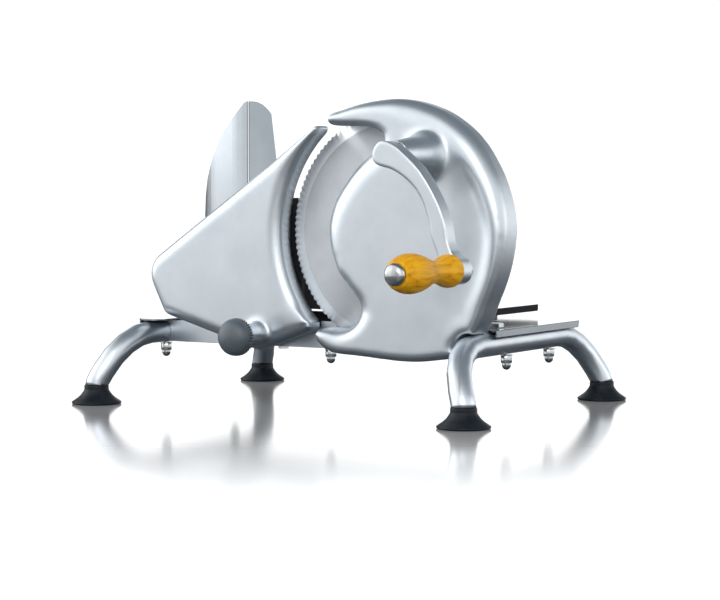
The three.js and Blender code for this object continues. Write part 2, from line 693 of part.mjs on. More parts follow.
// Housing with its crank boss
function makeHousing() {
  const outline = smoothOutline(HOUSING_OUTLINE_SHARES, BLADE.radius, SIDES.housing, 0, AXIS_HEIGHT);
  const foodSide = box(
    [-2 * BLADE.radius, 2 * BLADE.radius],
    [-HOUSING.back, HOUSING.front],
    [0, AXIS_HEIGHT + 2 * BLADE.radius],
  );
  const shell = slab("y", outline, -HOUSING.front, HOUSING.edge, HOUSING.edge).subtract(foodSide);
  const boss = turned("y", [CRANK_X, 0, CRANK_Z], [
    [0, -HOUSING.front + OVERRUN],
    [BOSS.baseRadius, -HOUSING.front + OVERRUN],
    [BOSS.baseRadius, -HOUSING.front],
    [BOSS.waistRadius, -BOSS.waist],
    [BOSS.tipRadius, -BOSS.reach],
    [0, -BOSS.reach],
  ]);
  const axleBoss = rod("y", axisXZ, AXLE.bossRadius, wallBack - GAP, gearFront - 2 * GAP, SIDES.middle);
  const pad = box(
    [PAD.left, PAD.right],
    [-HOUSING.back - OVERRUN, BAR.front - GAP],
    [PAD.bottom, PAD.top],
  );
  const bladeSweep = turned("y", BLADE_AXIS, [
    [0, OVERRUN],
    [0, -HOUSING.skirtBack],
    [HOUSING.skirtRadius, -HOUSING.skirtBack],
    [HOUSING.skirtRadius + HOUSING.skirtBack, -HOUSING.rimBack],
    [BLADE.radius + HOUSING.bladeClearance, -HOUSING.rimBack],
    [BLADE.radius + HOUSING.bladeClearance, OVERRUN],
    [0, OVERRUN],
  ], SIDES.large);
  const gearTip = (MODULE * (GEAR.bladeTeeth + 2)) / 2;
  const pinionTip = (MODULE * (GEAR.pinionTeeth + 2)) / 2;
  const chamber = rod("y", axisXZ, BLADE.radius + HOUSING.bladeClearance, wallBack, OVERRUN, SIDES.large)
    .intersect(box(
      [HOUSING.chamberSide, 2 * BLADE.radius],
      [-HOUSING.front, OVERRUN],
      [0, AXIS_HEIGHT + 2 * BLADE.radius],
    ));
  const hollow = join([
    chamber,
    rod("y", axisXZ, gearTip + HOUSING.gearClearance, wallBack, 0, SIDES.middle),
    rod("y", [CRANK_X, CRANK_Z], pinionTip + HOUSING.gearClearance, wallBack, 0, SIDES.middle),
    bladeSweep,
  ]);
  const bushBore = SHAFT.radius + GAP + SHAFT.bushWall + GAP;
  const bores = [
    rod("y", [CRANK_X, CRANK_Z], bushBore, -BOSS.reach - OVERRUN, wallBack + OVERRUN, SIDES.middle),
    rod("y", axisXZ, AXLE.radius + GAP, axleFront - GAP, OVERRUN, SIDES.middle),
    rod("z", [TUBE_X.right, seatY], SEAT_SCREW.radius + GAP, LEG.height, TUBE_TOP + SEAT_SCREW.reach + GAP),
    rod("y", PAD_SCREW_XZ, PAD_SCREW.radius + GAP, BAR.front - PAD_SCREW.reach, BAR.back),
    TUBE_CLEARANCE.right,
  ];
  const hollowed = shell.add(boss).subtract(hollow);
  return cut(hollowed.add(axleBoss).add(pad), bores);
}

addPart("blade_housing", makeHousing(), "cast");

// Crank shaft, its bushes and the pinion
const crankXZ = [CRANK_X, CRANK_Z];
const bushInner = SHAFT.radius + GAP;
function makeBush(from, to) {
  return cut(rod("y", crankXZ, bushInner + SHAFT.bushWall, from, to, SIDES.middle), [
    rod("y", crankXZ, bushInner, from - OVERRUN, to + OVERRUN, SIDES.middle),
  ]);
}
addPart("crank_bush_front", makeBush(-BOSS.reach, -BOSS.reach + SHAFT.bushLength), "brass");
addPart("crank_bush_rear", makeBush(wallBack - SHAFT.bushLength, wallBack), "brass");

const armBack = -BOSS.reach - 2 * GAP;
const armFront = armBack - ARM.thickness;
const pinionBack = gearBack - SHAFT.pinionBack;
const shaft = rod("y", crankXZ, SHAFT.radius, armBack - SHAFT.armSeat + GAP, pinionBack, SIDES.middle);
addPart("crank_shaft", shaft, "steel");
const pinionPhase = MESH_ANGLE + Math.PI + Math.PI / GEAR.pinionTeeth;
addPart("crank_pinion", cut(
  slab("y", gearOutline(GEAR.pinionTeeth, pinionPhase, CRANK_X, CRANK_Z), gearFront, pinionBack)
    .add(rod("y", crankXZ, GEAR.hubRadius, wallBack + GAP, pinionBack, SIDES.middle)),
  [rod("y", crankXZ, SHAFT.radius + GAP, wallBack - OVERRUN, pinionBack + OVERRUN, SIDES.middle)],
), "steel");

// Crank arm with its grub screw
const EYE_X = CRANK_X + EYE_SHARES[0] * ARM.length;
const EYE_Z = CRANK_Z + EYE_SHARES[1] * ARM.length;
const armOutline = smoothOutline(ARM_OUTLINE_SHARES, ARM.length, SIDES.arm, CRANK_X, CRANK_Z);
const armScrewY = armBack - SHAFT.armSeat / 2;
const armTop = Math.max(...armOutline.map((point) => point[1]));
addPart("crank_arm", cut(slab("y", armOutline, armFront, armBack, ARM.edge), [
  rod("y", crankXZ, SHAFT.radius + GAP, armBack - SHAFT.armSeat, armBack + OVERRUN, SIDES.middle),
  rod("z", [CRANK_X, armScrewY], ARM.screwRadius + GAP, CRANK_Z, armTop + OVERRUN),
  rod("y", [EYE_X, EYE_Z], HANDLE.pinRadius + GAP, armFront - OVERRUN, armBack + OVERRUN, SIDES.small),
]), "cast");
addPart("crank_arm_screw",
  rod("z", [CRANK_X, armScrewY], ARM.screwRadius, CRANK_Z + SHAFT.radius + GAP, armTop - ARM.screwRadius),
  "steel");

// Handle: pin, turned grip, domed cap
const gripBack = armFront - GAP;
const gripFront = gripBack - HANDLE.length;
const pinHead = armBack + GAP;
addPart("handle_pin", rod("y", [EYE_X, EYE_Z], HANDLE.pinRadius, gripFront - GAP, pinHead)
  .add(rod("y", [EYE_X, EYE_Z], HANDLE.capRadius, pinHead, pinHead + HANDLE.capHeight / 2)), "steel");
const gripProfile = GRIP_PROFILE_SHARES.map(([along, share, size]) =>
  [share * HANDLE[size], gripBack - along * HANDLE.length]);
addPart("handle_grip", turned("y", [EYE_X, 0, EYE_Z], [
  [HANDLE.boreRadius, gripBack],
  ...gripProfile,
  [HANDLE.boreRadius, gripFront],
  [HANDLE.boreRadius, gripBack],
], SIDES.middle), "wood");
const capBase = gripFront - 2 * GAP;
addPart("handle_end_cap",
  turned("y", [EYE_X, 0, EYE_Z], domeProfile(HANDLE.capRadius, capBase, -HANDLE.capHeight)), "chrome");

// Stop plate outline: hollow edge round the blade, then the rounded corners
function stopOutline() {
  const points = [];
  const cx = STOP.arcX;
  const cz = AXIS_HEIGHT + STOP.arcZ;
  const arcRadius = BLADE.radius + STOP.arcClearance;
  for (let i = 0; i <= STOP.arcSteps; i += 1) {
    const degrees = STOP.arcFrom + ((STOP.arcTo - STOP.arcFrom) * i) / STOP.arcSteps;
    const angle = THREE.MathUtils.degToRad(degrees);
    points.push([cx + arcRadius * Math.cos(angle), cz + arcRadius * Math.sin(angle)]);
  }
  const corners = STOP_CORNER_SHARES.map(([x, z]) => [x * BLADE.radius, z * BLADE.radius + AXIS_HEIGHT]);
  const ring = [points[points.length - 1], ...corners, points[0]];
  corners.forEach((corner, i) => {
    const radius = STOP_CORNER_SHARES[i][2] * BLADE.radius;
    points.push(...roundCorner(ring[i], corner, ring[i + 2], radius, STOP.cornerSteps));
  });
  return points;
}

function makeStopPlate() {
  const outline = stopOutline();
  const count = outline.length;
  const middle = outline.reduce((sum, p) => [sum[0] + p[0] / count, sum[1] + p[1] / count], [0, 0]);
  const pocketOutline = outline.map(([x, z]) => [
    middle[0] + (x - middle[0]) * STOP.dishShare,
    middle[1] + (z - middle[1]) * STOP.dishShare,
  ]);
  const plate = slab("y", outline, -STOP.front, -STOP.back, STOP.edge);
  const arcCentre = [STOP.arcX, AXIS_HEIGHT + STOP.arcZ];
  const wallRadius = BLADE.radius + STOP.arcClearance + STOP.hollowWall;
  const hollowWall = rod("y", arcCentre, wallRadius, -STOP.front, OVERRUN, SIDES.large);
  const pocket = slab("y", pocketOutline, -STOP.back - STOP.dishDepth, OVERRUN).subtract(hollowWall);
  const pinBosses = PIN_X.map((x) =>
    rod("y", [x, KNOB_Z], 2 * PIN.radius, -STOP.front + STOP.edge, -STOP.back, SIDES.middle).intersect(plate));
  const knobBoss = rod("y", [KNOB_X, KNOB_Z], KNOB.bossRadius, -KNOB.front + GAP, -STOP.back, SIDES.middle);
  const bores = [
    rod("y", [KNOB_X, KNOB_Z], SPINDLE.clearRadius, -KNOB.front - OVERRUN, OVERRUN),
    ...PIN_X.map((x) => rod("y", [x, KNOB_Z], PIN.radius + GAP, -PIN.depth - GAP, OVERRUN)),
  ];
  return cut(join([plate.subtract(pocket), ...pinBosses, knobBoss]), bores);
}

addPart("stop_plate", makeStopPlate(), "cast");
addPart("guide_pin_left", rod("y", [PIN_X[0], KNOB_Z], PIN.radius, -PIN.depth, PIN.back), "steel");
addPart("guide_pin_right", rod("y", [PIN_X[1], KNOB_Z], PIN.radius, -PIN.depth, PIN.back), "steel");

// Thickness knob: domed front, ribbed rim, on the spindle
function makeKnob() {
  const outline = [];
  for (let i = 0; i < 2 * KNOB.ribCount; i += 1) {
    const angle = (Math.PI * i) / KNOB.ribCount;
    const radius = KNOB.radius - (i % 2) * KNOB.ribDepth;
    outline.push([KNOB_X + radius * Math.cos(angle), KNOB_Z + radius * Math.sin(angle)]);
  }
  const back = -KNOB.front - GAP;
  const rimFront = back - KNOB.rim;
  const rim = slab("y", outline, rimFront, back);
  const dome = turned("y", [KNOB_X, 0, KNOB_Z],
    domeProfile(KNOB.radius - KNOB.ribDepth, rimFront + OVERRUN, -KNOB.dome - OVERRUN));
  const bore = rod("y", [KNOB_X, KNOB_Z], SPINDLE.clearRadius, back - KNOB.rim / 2 - GAP, OVERRUN);
  return rim.add(dome).subtract(bore);
}

addPart("thickness_knob", makeKnob(), "black");
addPart("thickness_spindle",
  rod("y", [KNOB_X, KNOB_Z], SPINDLE.radius, -KNOB.front - GAP - KNOB.rim / 2, SPINDLE.back), "steel");

// Cross bar, coped to the left tube
addPart("cross_bar", cut(
  box([TUBE_X.left + LEG.radius - BAR.lap, BAR_RIGHT], [BAR.front, BAR.back], [BAR_BOTTOM, BAR_TOP]),
  [
    TUBE_CLEARANCE.left,
    rod("y", [KNOB_X, KNOB_Z], SPINDLE.clearRadius, BAR.front - OVERRUN, BAR.back + OVERRUN),
    ...PIN_X.map((x) =>
      rod("y", [x, KNOB_Z], PIN.radius + GAP, BAR.front - OVERRUN, BAR.back + OVERRUN)),
    rod("z", [FIXINGS.centre.x, FIXINGS.centre.y], STUD.clearRadius, BAR_BOTTOM - OVERRUN, BAR_TOP + OVERRUN),
    rod("y", PAD_SCREW_XZ, PAD_SCREW.radius + GAP, BAR.front - OVERRUN, BAR.back + OVERRUN),
    rod("z", [CLAMP_X, FIXINGS.centre.y], CLAMP_SCREW.radius + GAP, BAR_BOTTOM - OVERRUN,
      BAR_BOTTOM + CLAMP_SCREW.reach + GAP),
    box(
      [BLOCK_X[0] - GAP, BLOCK_X[1] + GAP],
      [BAR.front - OVERRUN, BLOCK.back + GAP],
      [BAR_TOP - BLOCK.drop - GAP, BAR_TOP + OVERRUN],
    ),
  ],
), "cast");
addPart("guide_block",
  box(BLOCK_X, [BLOCK.front, BLOCK.back], [BAR_TOP - BLOCK.drop, BAR_TOP + BLOCK.height]), "cast");
const padHead = BAR.back + GAP;
addPart("pad_screw", rod("y", PAD_SCREW_XZ, PAD_SCREW.radius, BAR.front - PAD_SCREW.reach + GAP, padHead)
  .add(rod("y", PAD_SCREW_XZ, PAD_SCREW.headRadius, padHead, padHead + PAD_SCREW.headHeight)), "steel");
const clampHead = BAR_BOTTOM - GAP;
addPart("clamp_screw", rod("z", [CLAMP_X, FIXINGS.centre.y], CLAMP_SCREW.radius, clampHead,
  BAR_BOTTOM + CLAMP_SCREW.reach)
  .add(rod("z", [CLAMP_X, FIXINGS.centre.y], CLAMP_SCREW.headRadius, clampHead - CLAMP_SCREW.headHeight,
    clampHead, 6)), "steel");
const boreFlat = (LEG.radius - LEG.wall) * Math.cos(Math.PI / SIDES.bore);
const seatHead = LEG.height + Math.sqrt(boreFlat ** 2 - SEAT_SCREW.headRadius ** 2) - GAP;
const seatXY = [TUBE_X.right, seatY];
addPart("seat_screw", join([
  rod("z", seatXY, SEAT_SCREW.radius, seatHead, TUBE_TOP + SEAT_SCREW.reach),
  rod("z", seatXY, SEAT_SCREW.headRadius, seatHead - SEAT_SCREW.headHeight, seatHead),
]), "steel");

// Base plate: sheet with ears in front and folded lips along both sides
function makeBasePlate() {
  const outline = [
    [PLATE.left, PLATE.leftEar + PLATE.corner],
    [PLATE.left + PLATE.corner, PLATE.leftEar],
    [PLATE.left + PLATE.leftEarWidth - PLATE.corner, PLATE.leftEar],
    [PLATE.left + PLATE.leftEarWidth, PLATE.leftEar + PLATE.corner],
    [PLATE.left + PLATE.leftEarWidth, PLATE.front],
    [PLATE.right - PLATE.rightEarWidth, PLATE.front],
    [PLATE.right - PLATE.rightEarWidth, PLATE.rightEar],
    [PLATE.right, PLATE.rightEar],
    [PLATE.right, PLATE.back - PLATE.corner],
    [PLATE.right - PLATE.corner, PLATE.back],
    [PLATE.left + PLATE.corner, PLATE.back],
    [PLATE.left, PLATE.back - PLATE.corner],
  ];
  const sheet = slab("z", outline, PLATE_BOTTOM, PLATE_TOP);
  const lip = (from, to, front) => slab("x", [
    [front, PLATE_TOP],
    [front, PLATE_TOP - PLATE.lip],
    [PLATE.back - PLATE.corner - SHEET, PLATE_TOP - PLATE.lip],
    [PLATE.back - PLATE.corner, PLATE_TOP - SHEET],
    [PLATE.back - PLATE.corner, PLATE_TOP],
  ], from, to);
  const railHoles = railRivetPlaces().map((x) =>
    rod("z", [x, RAIL.y], RAIL.rivetRadius + GAP, PLATE_BOTTOM - OVERRUN, PLATE_TOP + OVERRUN));
  return cut(join([
    sheet,
    lip(PLATE.right - SHEET, PLATE.right, PLATE.rightEar),
    lip(PLATE.left, PLATE.left + SHEET, PLATE.leftEar + PLATE.corner),
  ]), railHoles);
}

function railRivetPlaces() {
  return [RAIL_X[0] + RAIL.rivetInset, RAIL_X[1] - RAIL.rivetInset];
}

addPart("base_plate", makeBasePlate(), "steel");

// Studs and cap nuts
function makeStud({ x, y, seat }) {
  return rod("z", [x, y], STUD.radius, seat - NUT.washerHeight - NUT.well, PLATE_BOTTOM - GAP);
}

function makeCapNut({ x, y, seat }) {
  const top = seat - GAP;
  const hexTop = top - NUT.washerHeight;
  const hexBottom = hexTop - NUT.height;
  const hexRadius = NUT.across / Math.sqrt(3);
  const dome = turned("z", [x, y, 0],
    domeProfile(NUT.domeRadius, hexBottom + OVERRUN, -NUT.domeHeight - OVERRUN), SIDES.small);
  return join([
    rod("z", [x, y], NUT.washerRadius, hexTop, top),
    rod("z", [x, y], hexRadius, hexBottom, hexTop + MERGE, 6),
    dome,
  ]).subtract(rod("z", [x, y], STUD.clearRadius, seat - NUT.washerHeight - NUT.well - GAP, top + OVERRUN));
}

for (const [name, fixing] of Object.entries(FIXINGS)) {
  addPart("stud_" + name, makeStud(fixing), "steel");
  addPart("cap_nut_" + name, makeCapNut(fixing), "chrome");
}

// Guide rail riveted to the base plate
const railFront = RAIL.y - RAIL.width / 2;
const railBack = RAIL.y + RAIL.width / 2;
const railBottom = PLATE_TOP + GAP;
const railTop = railBottom + RAIL.height;
addPart("guide_rail", cut(box(RAIL_X, [railFront, railBack], [railBottom, railTop]),
  railRivetPlaces().map((x) =>
    rod("z", [x, RAIL.y], RAIL.rivetRadius + GAP, railBottom - OVERRUN, railTop + OVERRUN)),
), "steel");
railRivetPlaces().forEach((x, i) => {
  const rivet = rod("z", [x, RAIL.y], RAIL.rivetRadius, PLATE_BOTTOM - GAP, railTop)
    .add(rod("z", [x, RAIL.y], 2 * RAIL.rivetRadius, PLATE_BOTTOM - SHEET - GAP, PLATE_BOTTOM - GAP));
  addPart("rail_rivet_" + ["left", "right"][i], rivet, "steel");
});

// Carriage: tray with lips, fence and the slot for the pusher's stud
const SLOT_Z = TRAY_TOP + PUSHER.slotHeight;
const slotHalf = PUSHER.studRadius + GAP;
function makeCarriage() {
  const floor = box([TRAY_X[0], TRAY_X[1]], [TRAY.front, TRAY.back], [TRAY_TOP - TRAY.sheet, TRAY_TOP]);
  const lipZ = [TRAY_TOP - TRAY.lip, TRAY_TOP];
  const rightLip = box([TRAY_X[1] - TRAY.sheet, TRAY_X[1]], [TRAY.front, TRAY.back], lipZ);
  const backLip = box(TRAY_X, [TRAY.back - TRAY.sheet, TRAY.back], lipZ);
  const fence = slab("x", FENCE_OUTLINE_SHARES.map(([along, up]) => [
    FENCE.front + along * (FENCE.back - FENCE.front),
    TRAY_TOP - TRAY.sheet + up * (FENCE.height + TRAY.sheet),
  ]), TRAY_X[0], TRAY_X[0] + TRAY.sheet);
  const cutFrom = TRAY_X[0] - OVERRUN;
  const cutTo = TRAY_X[0] + TRAY.sheet + OVERRUN;
  const slot = join([
    box([cutFrom, cutTo], [PUSHER.studY, PUSHER.studY + PUSHER.travel], [SLOT_Z - slotHalf,
      SLOT_Z + slotHalf]),
    rod("x", [PUSHER.studY, SLOT_Z], slotHalf, cutFrom, cutTo),
    rod("x", [PUSHER.studY + PUSHER.travel, SLOT_Z], slotHalf, cutFrom, cutTo),
  ]);
  return cut(join([floor, rightLip, backLip, fence]), [slot, ...rivetHoles(cutFrom, cutTo)]);
}

function rivetPlaces() {
  return RIVET_HEIGHT_SHARES.map((share) => [RIVET.y, TRAY_TOP + share * FENCE.height]);
}

function rivetHoles(from, to) {
  return rivetPlaces().map((centre) => rod("x", centre, RIVET.radius + GAP, from, to));
}

addPart("carriage", makeCarriage(), "steel");

// Finger guard riveted to the fence
const guardRight = TRAY_X[0] - GAP;
function makeFingerGuard() {
  const edge = GUARD_EDGE_SHARES.map(([reach, up]) => [
    guardRight - reach * GUARD.reach,
    TRAY_TOP + up * FENCE.height,
  ]);
  const depth = GUARD.front + GUARD.bow + GUARD.flange;
  const outline = slab("y", [[guardRight, TRAY_TOP], ...edge], -OVERRUN, depth);
  const bowed = (offset) => Array.from({ length: GUARD.steps + 1 }, (_, i) => {
    const share = i / GUARD.steps;
    return [guardRight - share * (GUARD.reach + OVERRUN), GUARD.front + offset + share ** 2 * GUARD.bow];
  });
  const sheet = slab("z", [...bowed(0), ...bowed(TRAY.sheet).reverse()], TRAY_TOP - OVERRUN,
    TRAY_TOP + FENCE.height + OVERRUN);
  const guard = sheet.intersect(outline);
  const flangeLeft = guardRight - TRAY.sheet;
  const topRivet = rivetPlaces()[1][1];
  const flange = box([flangeLeft, guardRight], [GUARD.front, GUARD.front + GUARD.flange],
    [TRAY_TOP, topRivet + GUARD.flange]);
  return cut(guard.add(flange), rivetHoles(flangeLeft - OVERRUN, guardRight + OVERRUN));
}

addPart("finger_guard", makeFingerGuard(), "steel");
rivetPlaces().forEach((centre, i) => {
  const left = guardRight - TRAY.sheet - GAP;
  const right = TRAY_X[0] + TRAY.sheet + GAP;
  const rivet = join([
    rod("x", centre, RIVET.radius, left - MERGE, right + MERGE),
    rod("x", centre, RIVET.headRadius, left - RIVET.headHeight, left),
    rod("x", centre, RIVET.headRadius, right, right + RIVET.headHeight),
  ]);
  addPart("guard_rivet_" + ["low", "high"][i], rivet, "steel");
});

// Runners under the tray: the front one straddles the rail
const runnerRight = TRAY_X[1] - TRAY.sheet - GAP;
const runnerTop = TRAY_TOP - TRAY.sheet - GAP;
const runnerLeft = TRAY_X[0] + RUNNER.inset;
const makeRunner = (front, width) =>
  box([runnerLeft, runnerRight], [front, front + width], [railBottom, runnerTop]);
const railSpace = box(
  [runnerLeft - OVERRUN, runnerRight + OVERRUN],
  [railFront - GAP, railBack + GAP],
  [railBottom - OVERRUN, railTop + GAP],
);
addPart("carriage_runner_front", cut(makeRunner(RUNNER.frontY, RUNNER.frontWidth), [railSpace]), "black");
addPart("carriage_runner_back", makeRunner(RUNNER.backY, RUNNER.backWidth), "black");

// Pusher: ribbed plate and arm, with the stud and knob that clamp it in the fence's slot
const pusherLeft = TRAY_X[0] + TRAY.sheet + GAP;
const pusherBottom = TRAY_TOP + PUSHER.bottom;
const pusherTop = pusherBottom + PUSHER.height;
const pusherRight = pusherLeft + PUSHER.width;
function makePusher() {
  const front = PUSHER.front;
  const back = front + PUSHER.thickness;
  const clear = RIVET.headHeight + 2 * GAP;
  const plate = box([pusherLeft + clear, pusherRight], [front, back], [pusherBottom, pusherTop]);
  const armRight = pusherLeft + clear + PUSHER.arm;
  const armBack = front + PUSHER.armLength;
  const height = [pusherBottom, pusherTop];
  const bridge = box([pusherLeft, armRight], [back + GUARD.flange / 2, armBack], height);
  const arm = box([pusherLeft + clear, armRight], [back - OVERRUN, armBack], height);
  const width = pusherRight - pusherLeft;
  const ribs = Array.from({ length: PUSHER.ribCount }, (_, i) => {
    const x = pusherLeft + (width * (i + 1)) / (PUSHER.ribCount + 1);
    return box([x - PUSHER.ribDepth, x + PUSHER.ribDepth], [front - PUSHER.ribDepth, front + OVERRUN],
      [pusherBottom, pusherTop - PUSHER.thickness]);
  });
  const bore = rod("x", [PUSHER.studY, SLOT_Z], PUSHER.studRadius + GAP, pusherLeft - OVERRUN,
    pusherLeft + clear + PUSHER.arm + OVERRUN);
  return cut(join([plate, arm, bridge, ...ribs]), [bore]);
}

addPart("pusher", makePusher(), "black");
const pusherStudRight = pusherLeft + RIVET.headHeight + 2 * GAP + PUSHER.arm + GAP;
const knobRight = TRAY_X[0] - GAP;
addPart("pusher_stud", rod("x", [PUSHER.studY, SLOT_Z], PUSHER.studRadius, knobRight - PUSHER.knobLength / 2,
  pusherStudRight + MERGE)
  .add(rod("x", [PUSHER.studY, SLOT_Z], 2 * PUSHER.studRadius, pusherStudRight,
    pusherStudRight + PUSHER.studRadius)), "steel");
addPart("pusher_knob", rod("x", [PUSHER.studY, SLOT_Z], PUSHER.knobRadius, knobRight - PUSHER.knobLength,
  knobRight, SIDES.middle)
  .subtract(rod("x", [PUSHER.studY, SLOT_Z], PUSHER.studRadius + GAP, knobRight - PUSHER.knobLength / 2 - GAP,
    knobRight + OVERRUN)), "black");

// The whole slicer stands on the table, centred over the middle of its own plan
slicer.updateMatrixWorld(true);
const bounds = new THREE.Box3().setFromObject(slicer);
const centre = bounds.getCenter(new THREE.Vector3());
assembly.position.set(-centre.x, -centre.y, -bounds.min.z);

export default slicer;
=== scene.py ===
import json
import math

import bmesh
import bpy
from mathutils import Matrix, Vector
from mathutils.kdtree import KDTree


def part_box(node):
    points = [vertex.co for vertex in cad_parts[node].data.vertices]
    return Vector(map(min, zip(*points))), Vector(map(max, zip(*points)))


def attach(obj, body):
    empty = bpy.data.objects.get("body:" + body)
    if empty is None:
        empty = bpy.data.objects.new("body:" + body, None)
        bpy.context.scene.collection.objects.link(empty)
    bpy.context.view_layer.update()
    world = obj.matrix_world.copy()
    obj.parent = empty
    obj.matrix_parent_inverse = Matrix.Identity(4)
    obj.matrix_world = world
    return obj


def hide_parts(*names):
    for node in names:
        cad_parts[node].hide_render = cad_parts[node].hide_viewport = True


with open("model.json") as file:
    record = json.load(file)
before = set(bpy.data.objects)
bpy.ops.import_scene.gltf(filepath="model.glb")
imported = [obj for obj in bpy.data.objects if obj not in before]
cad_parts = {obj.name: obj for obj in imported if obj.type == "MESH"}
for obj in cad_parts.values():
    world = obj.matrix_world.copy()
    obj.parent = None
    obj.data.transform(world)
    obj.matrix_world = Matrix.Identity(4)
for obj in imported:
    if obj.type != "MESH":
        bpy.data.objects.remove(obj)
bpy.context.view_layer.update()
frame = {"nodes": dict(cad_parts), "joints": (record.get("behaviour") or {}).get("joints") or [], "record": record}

mm = 0.001
joints = {joint["name"]: joint for joint in frame["joints"]}
bladeX, _, bladeZ = joints["blade_spin"]["pos_m"]
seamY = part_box("blade")[1].y  # the plane that the blade cuts in
crankX, _, crankZ = joints["crank_turn"]["pos_m"]
eyeX, _, eyeZ = joints["handle_spin"]["pos_m"]
knobX, _, knobZ = joints["knob_turn"]["pos_m"]
bodies = frame["record"]["behaviour"]["bodies"]
bodyOf = {node: body for body, members in bodies.items() for node in members}
slotOf = {row["node"]: row["material_slot"] for row in frame["record"]["subparts"]}


# Materials: small helpers for their nodes


def newFinish(name, metallic, **sockets):
    finish = bpy.data.materials.new(name)
    finish.use_nodes = True
    tree = finish.node_tree
    shader = tree.nodes["Principled BSDF"]
    shader.inputs["Metallic"].default_value = metallic
    for socket, value in sockets.items():
        shader.inputs[socket.replace("_", " ")].default_value = value
    return finish, tree, shader


def addNode(tree, kind, values=None, **settings):
    node = tree.nodes.new(kind)
    for name, value in settings.items():
        setattr(node, name, value)
    for name, value in (values or {}).items():
        node.inputs[name].default_value = value
    return node


def onPiece(tree, scale, centre=(0, 0, 0), turn=(0, 0, 0)):
    # object coordinates, moved to a centre, turned and stretched
    coordinates = addNode(tree, "ShaderNodeTexCoord")
    mapping = addNode(tree, "ShaderNodeMapping", {"Scale": scale, "Rotation": turn})
    mapping.inputs["Location"].default_value = [-c * s for c, s in zip(centre, scale)]
    tree.links.new(coordinates.outputs["Object"], mapping.inputs["Vector"])
    return mapping.outputs["Vector"]


def noise(tree, vector, scale, detail=3, roughness=0.5):
    values = {"Scale": scale, "Detail": detail, "Roughness": roughness}
    texture = addNode(tree, "ShaderNodeTexNoise", values)
    tree.links.new(vector, texture.inputs["Vector"])
    return texture.outputs["Fac"]


def ramp(tree, factor, *stops):
    node = addNode(tree, "ShaderNodeValToRGB")
    elements = node.color_ramp.elements
    while len(elements) < len(stops):
        elements.new(0.5)
    for element, (place, colour) in zip(elements, stops):
        element.position = place
        grey = isinstance(colour, (int, float))
        element.color = (colour, colour, colour, 1) if grey else (*colour, 1)
    tree.links.new(factor, node.inputs["Fac"])
    return node.outputs["Color"]


def bump(tree, shader, height, strength, distance):
    node = addNode(tree, "ShaderNodeBump", {"Strength": strength, "Distance": distance})
    tree.links.new(height, node.inputs["Height"])
    before = shader.inputs["Normal"].links
    if before:
        tree.links.new(before[0].from_socket, node.inputs["Normal"])
    tree.links.new(node.outputs["Normal"], shader.inputs["Normal"])


# Materials: in a look, colour, roughness and relief are each a noise over the piece, given by its scale,
# detail and roughness; colourStops are where on it the dark and the light colour lie, and roughStops
# are places on it with the material's roughness there

looks = {
    "castAluminium": {  # blasted cast aluminium under a thin silver coat
        "metallic": 0.95,
        "sockets": {"Roughness": 0.36},
        "light": (0.58, 0.625, 0.665),
        "dark": (0.525, 0.57, 0.61),
        "colour": (38, 4, 0.6),
        "roughness": (1500, 2, 0.6),
        "roughStops": ((0.3, 0.3), (0.75, 0.42)),
        "relief": (1500, 2, 0.6),
        "bump": (0.3, 0.00006),
    },
    "silverPowderCoat": {
        "metallic": 0.95,
        "sockets": {"Roughness": 0.36},
        "light": (0.61, 0.655, 0.7),
        "dark": (0.55, 0.595, 0.64),
        "colour": (55, 3),
        "roughness": (2400, 2),
        "roughStops": ((0.3, 0.27), (0.7, 0.36)),
        "relief": (2400, 2),
        "bump": (0.2, 0.00004),
    },
    "chromePlate": {
        "metallic": 1.0,
        "sockets": {"Roughness": 0.07},
        "light": (0.5, 0.515, 0.525),
        "dark": (0.38, 0.4, 0.41),
        "colour": (300, 3),
        "roughness": (300, 3),
        "roughStops": ((0.3, 0.05), (0.75, 0.12)),
    },
    "turnedSteel": {
        "metallic": 1.0,
        "sockets": {"Roughness": 0.3},
        "light": (0.64, 0.655, 0.67),
        "dark": (0.5, 0.52, 0.54),
        "colour": (900, 3, 0.6),
        "roughness": (900, 3, 0.6),
        "roughStops": ((0.3, 0.24), (0.7, 0.38)),
        "relief": (900, 3, 0.6),
        "bump": (0.15, 0.00004),
    },
    "bushBronze": {
        "metallic": 1.0,
        "sockets": {"Roughness": 0.4},
        "light": (0.62, 0.46, 0.22),
        "dark": (0.42, 0.29, 0.12),
        "colour": (1600, 4, 0.65),
        "colourStops": (0.35, 0.6),
        "relief": (1600, 4, 0.65),
        "bump": (0.25, 0.00005),
    },
    "blackMouldedPlastic": {
        "metallic": 0.0,
        "sockets": {"Roughness": 0.38},
        "light": (0.035, 0.038, 0.043),
        "dark": (0.018, 0.02, 0.023),
        "colour": (1800, 2),
        "roughness": (90, 3),
        "roughStops": ((0.3, 0.33), (0.7, 0.46)),
        "relief": (1800, 2),
        "bump": (0.2, 0.00005),
    },
    "darkGreyPlastic": {  # the knob's satin dial
        "metallic": 0.0,
        "sockets": {"Roughness": 0.42, "Specular_IOR_Level": 0.6},
        "light": (0.088, 0.112, 0.134),
        "dark": (0.064, 0.082, 0.098),
        "colour": (1500, 2),
        "roughness": (1500, 2),
        "roughStops": ((0.3, 0.36), (0.7, 0.5)),
        "relief": (1500, 2),
        "bump": (0.25, 0.00006),
    },
    "blackRubber": {
        "metallic": 0.0,
        "sockets": {"Roughness": 0.4, "Specular_IOR_Level": 0.22},
        "light": (0.012, 0.017, 0.023),
        "dark": (0.006, 0.0085, 0.012),
        "colour": (130, 4, 0.6),
        "colourStops": (0.35, 0.75),
        "roughness": (130, 4, 0.6),
        "roughStops": ((0.3, 0.34), (0.7, 0.5)),
        "relief": (1400, 2),
        "bump": (0.2, 0.00006),
    },
}
dull = {"Roughness": 0.4, "Specular_IOR_Level": 0.03}
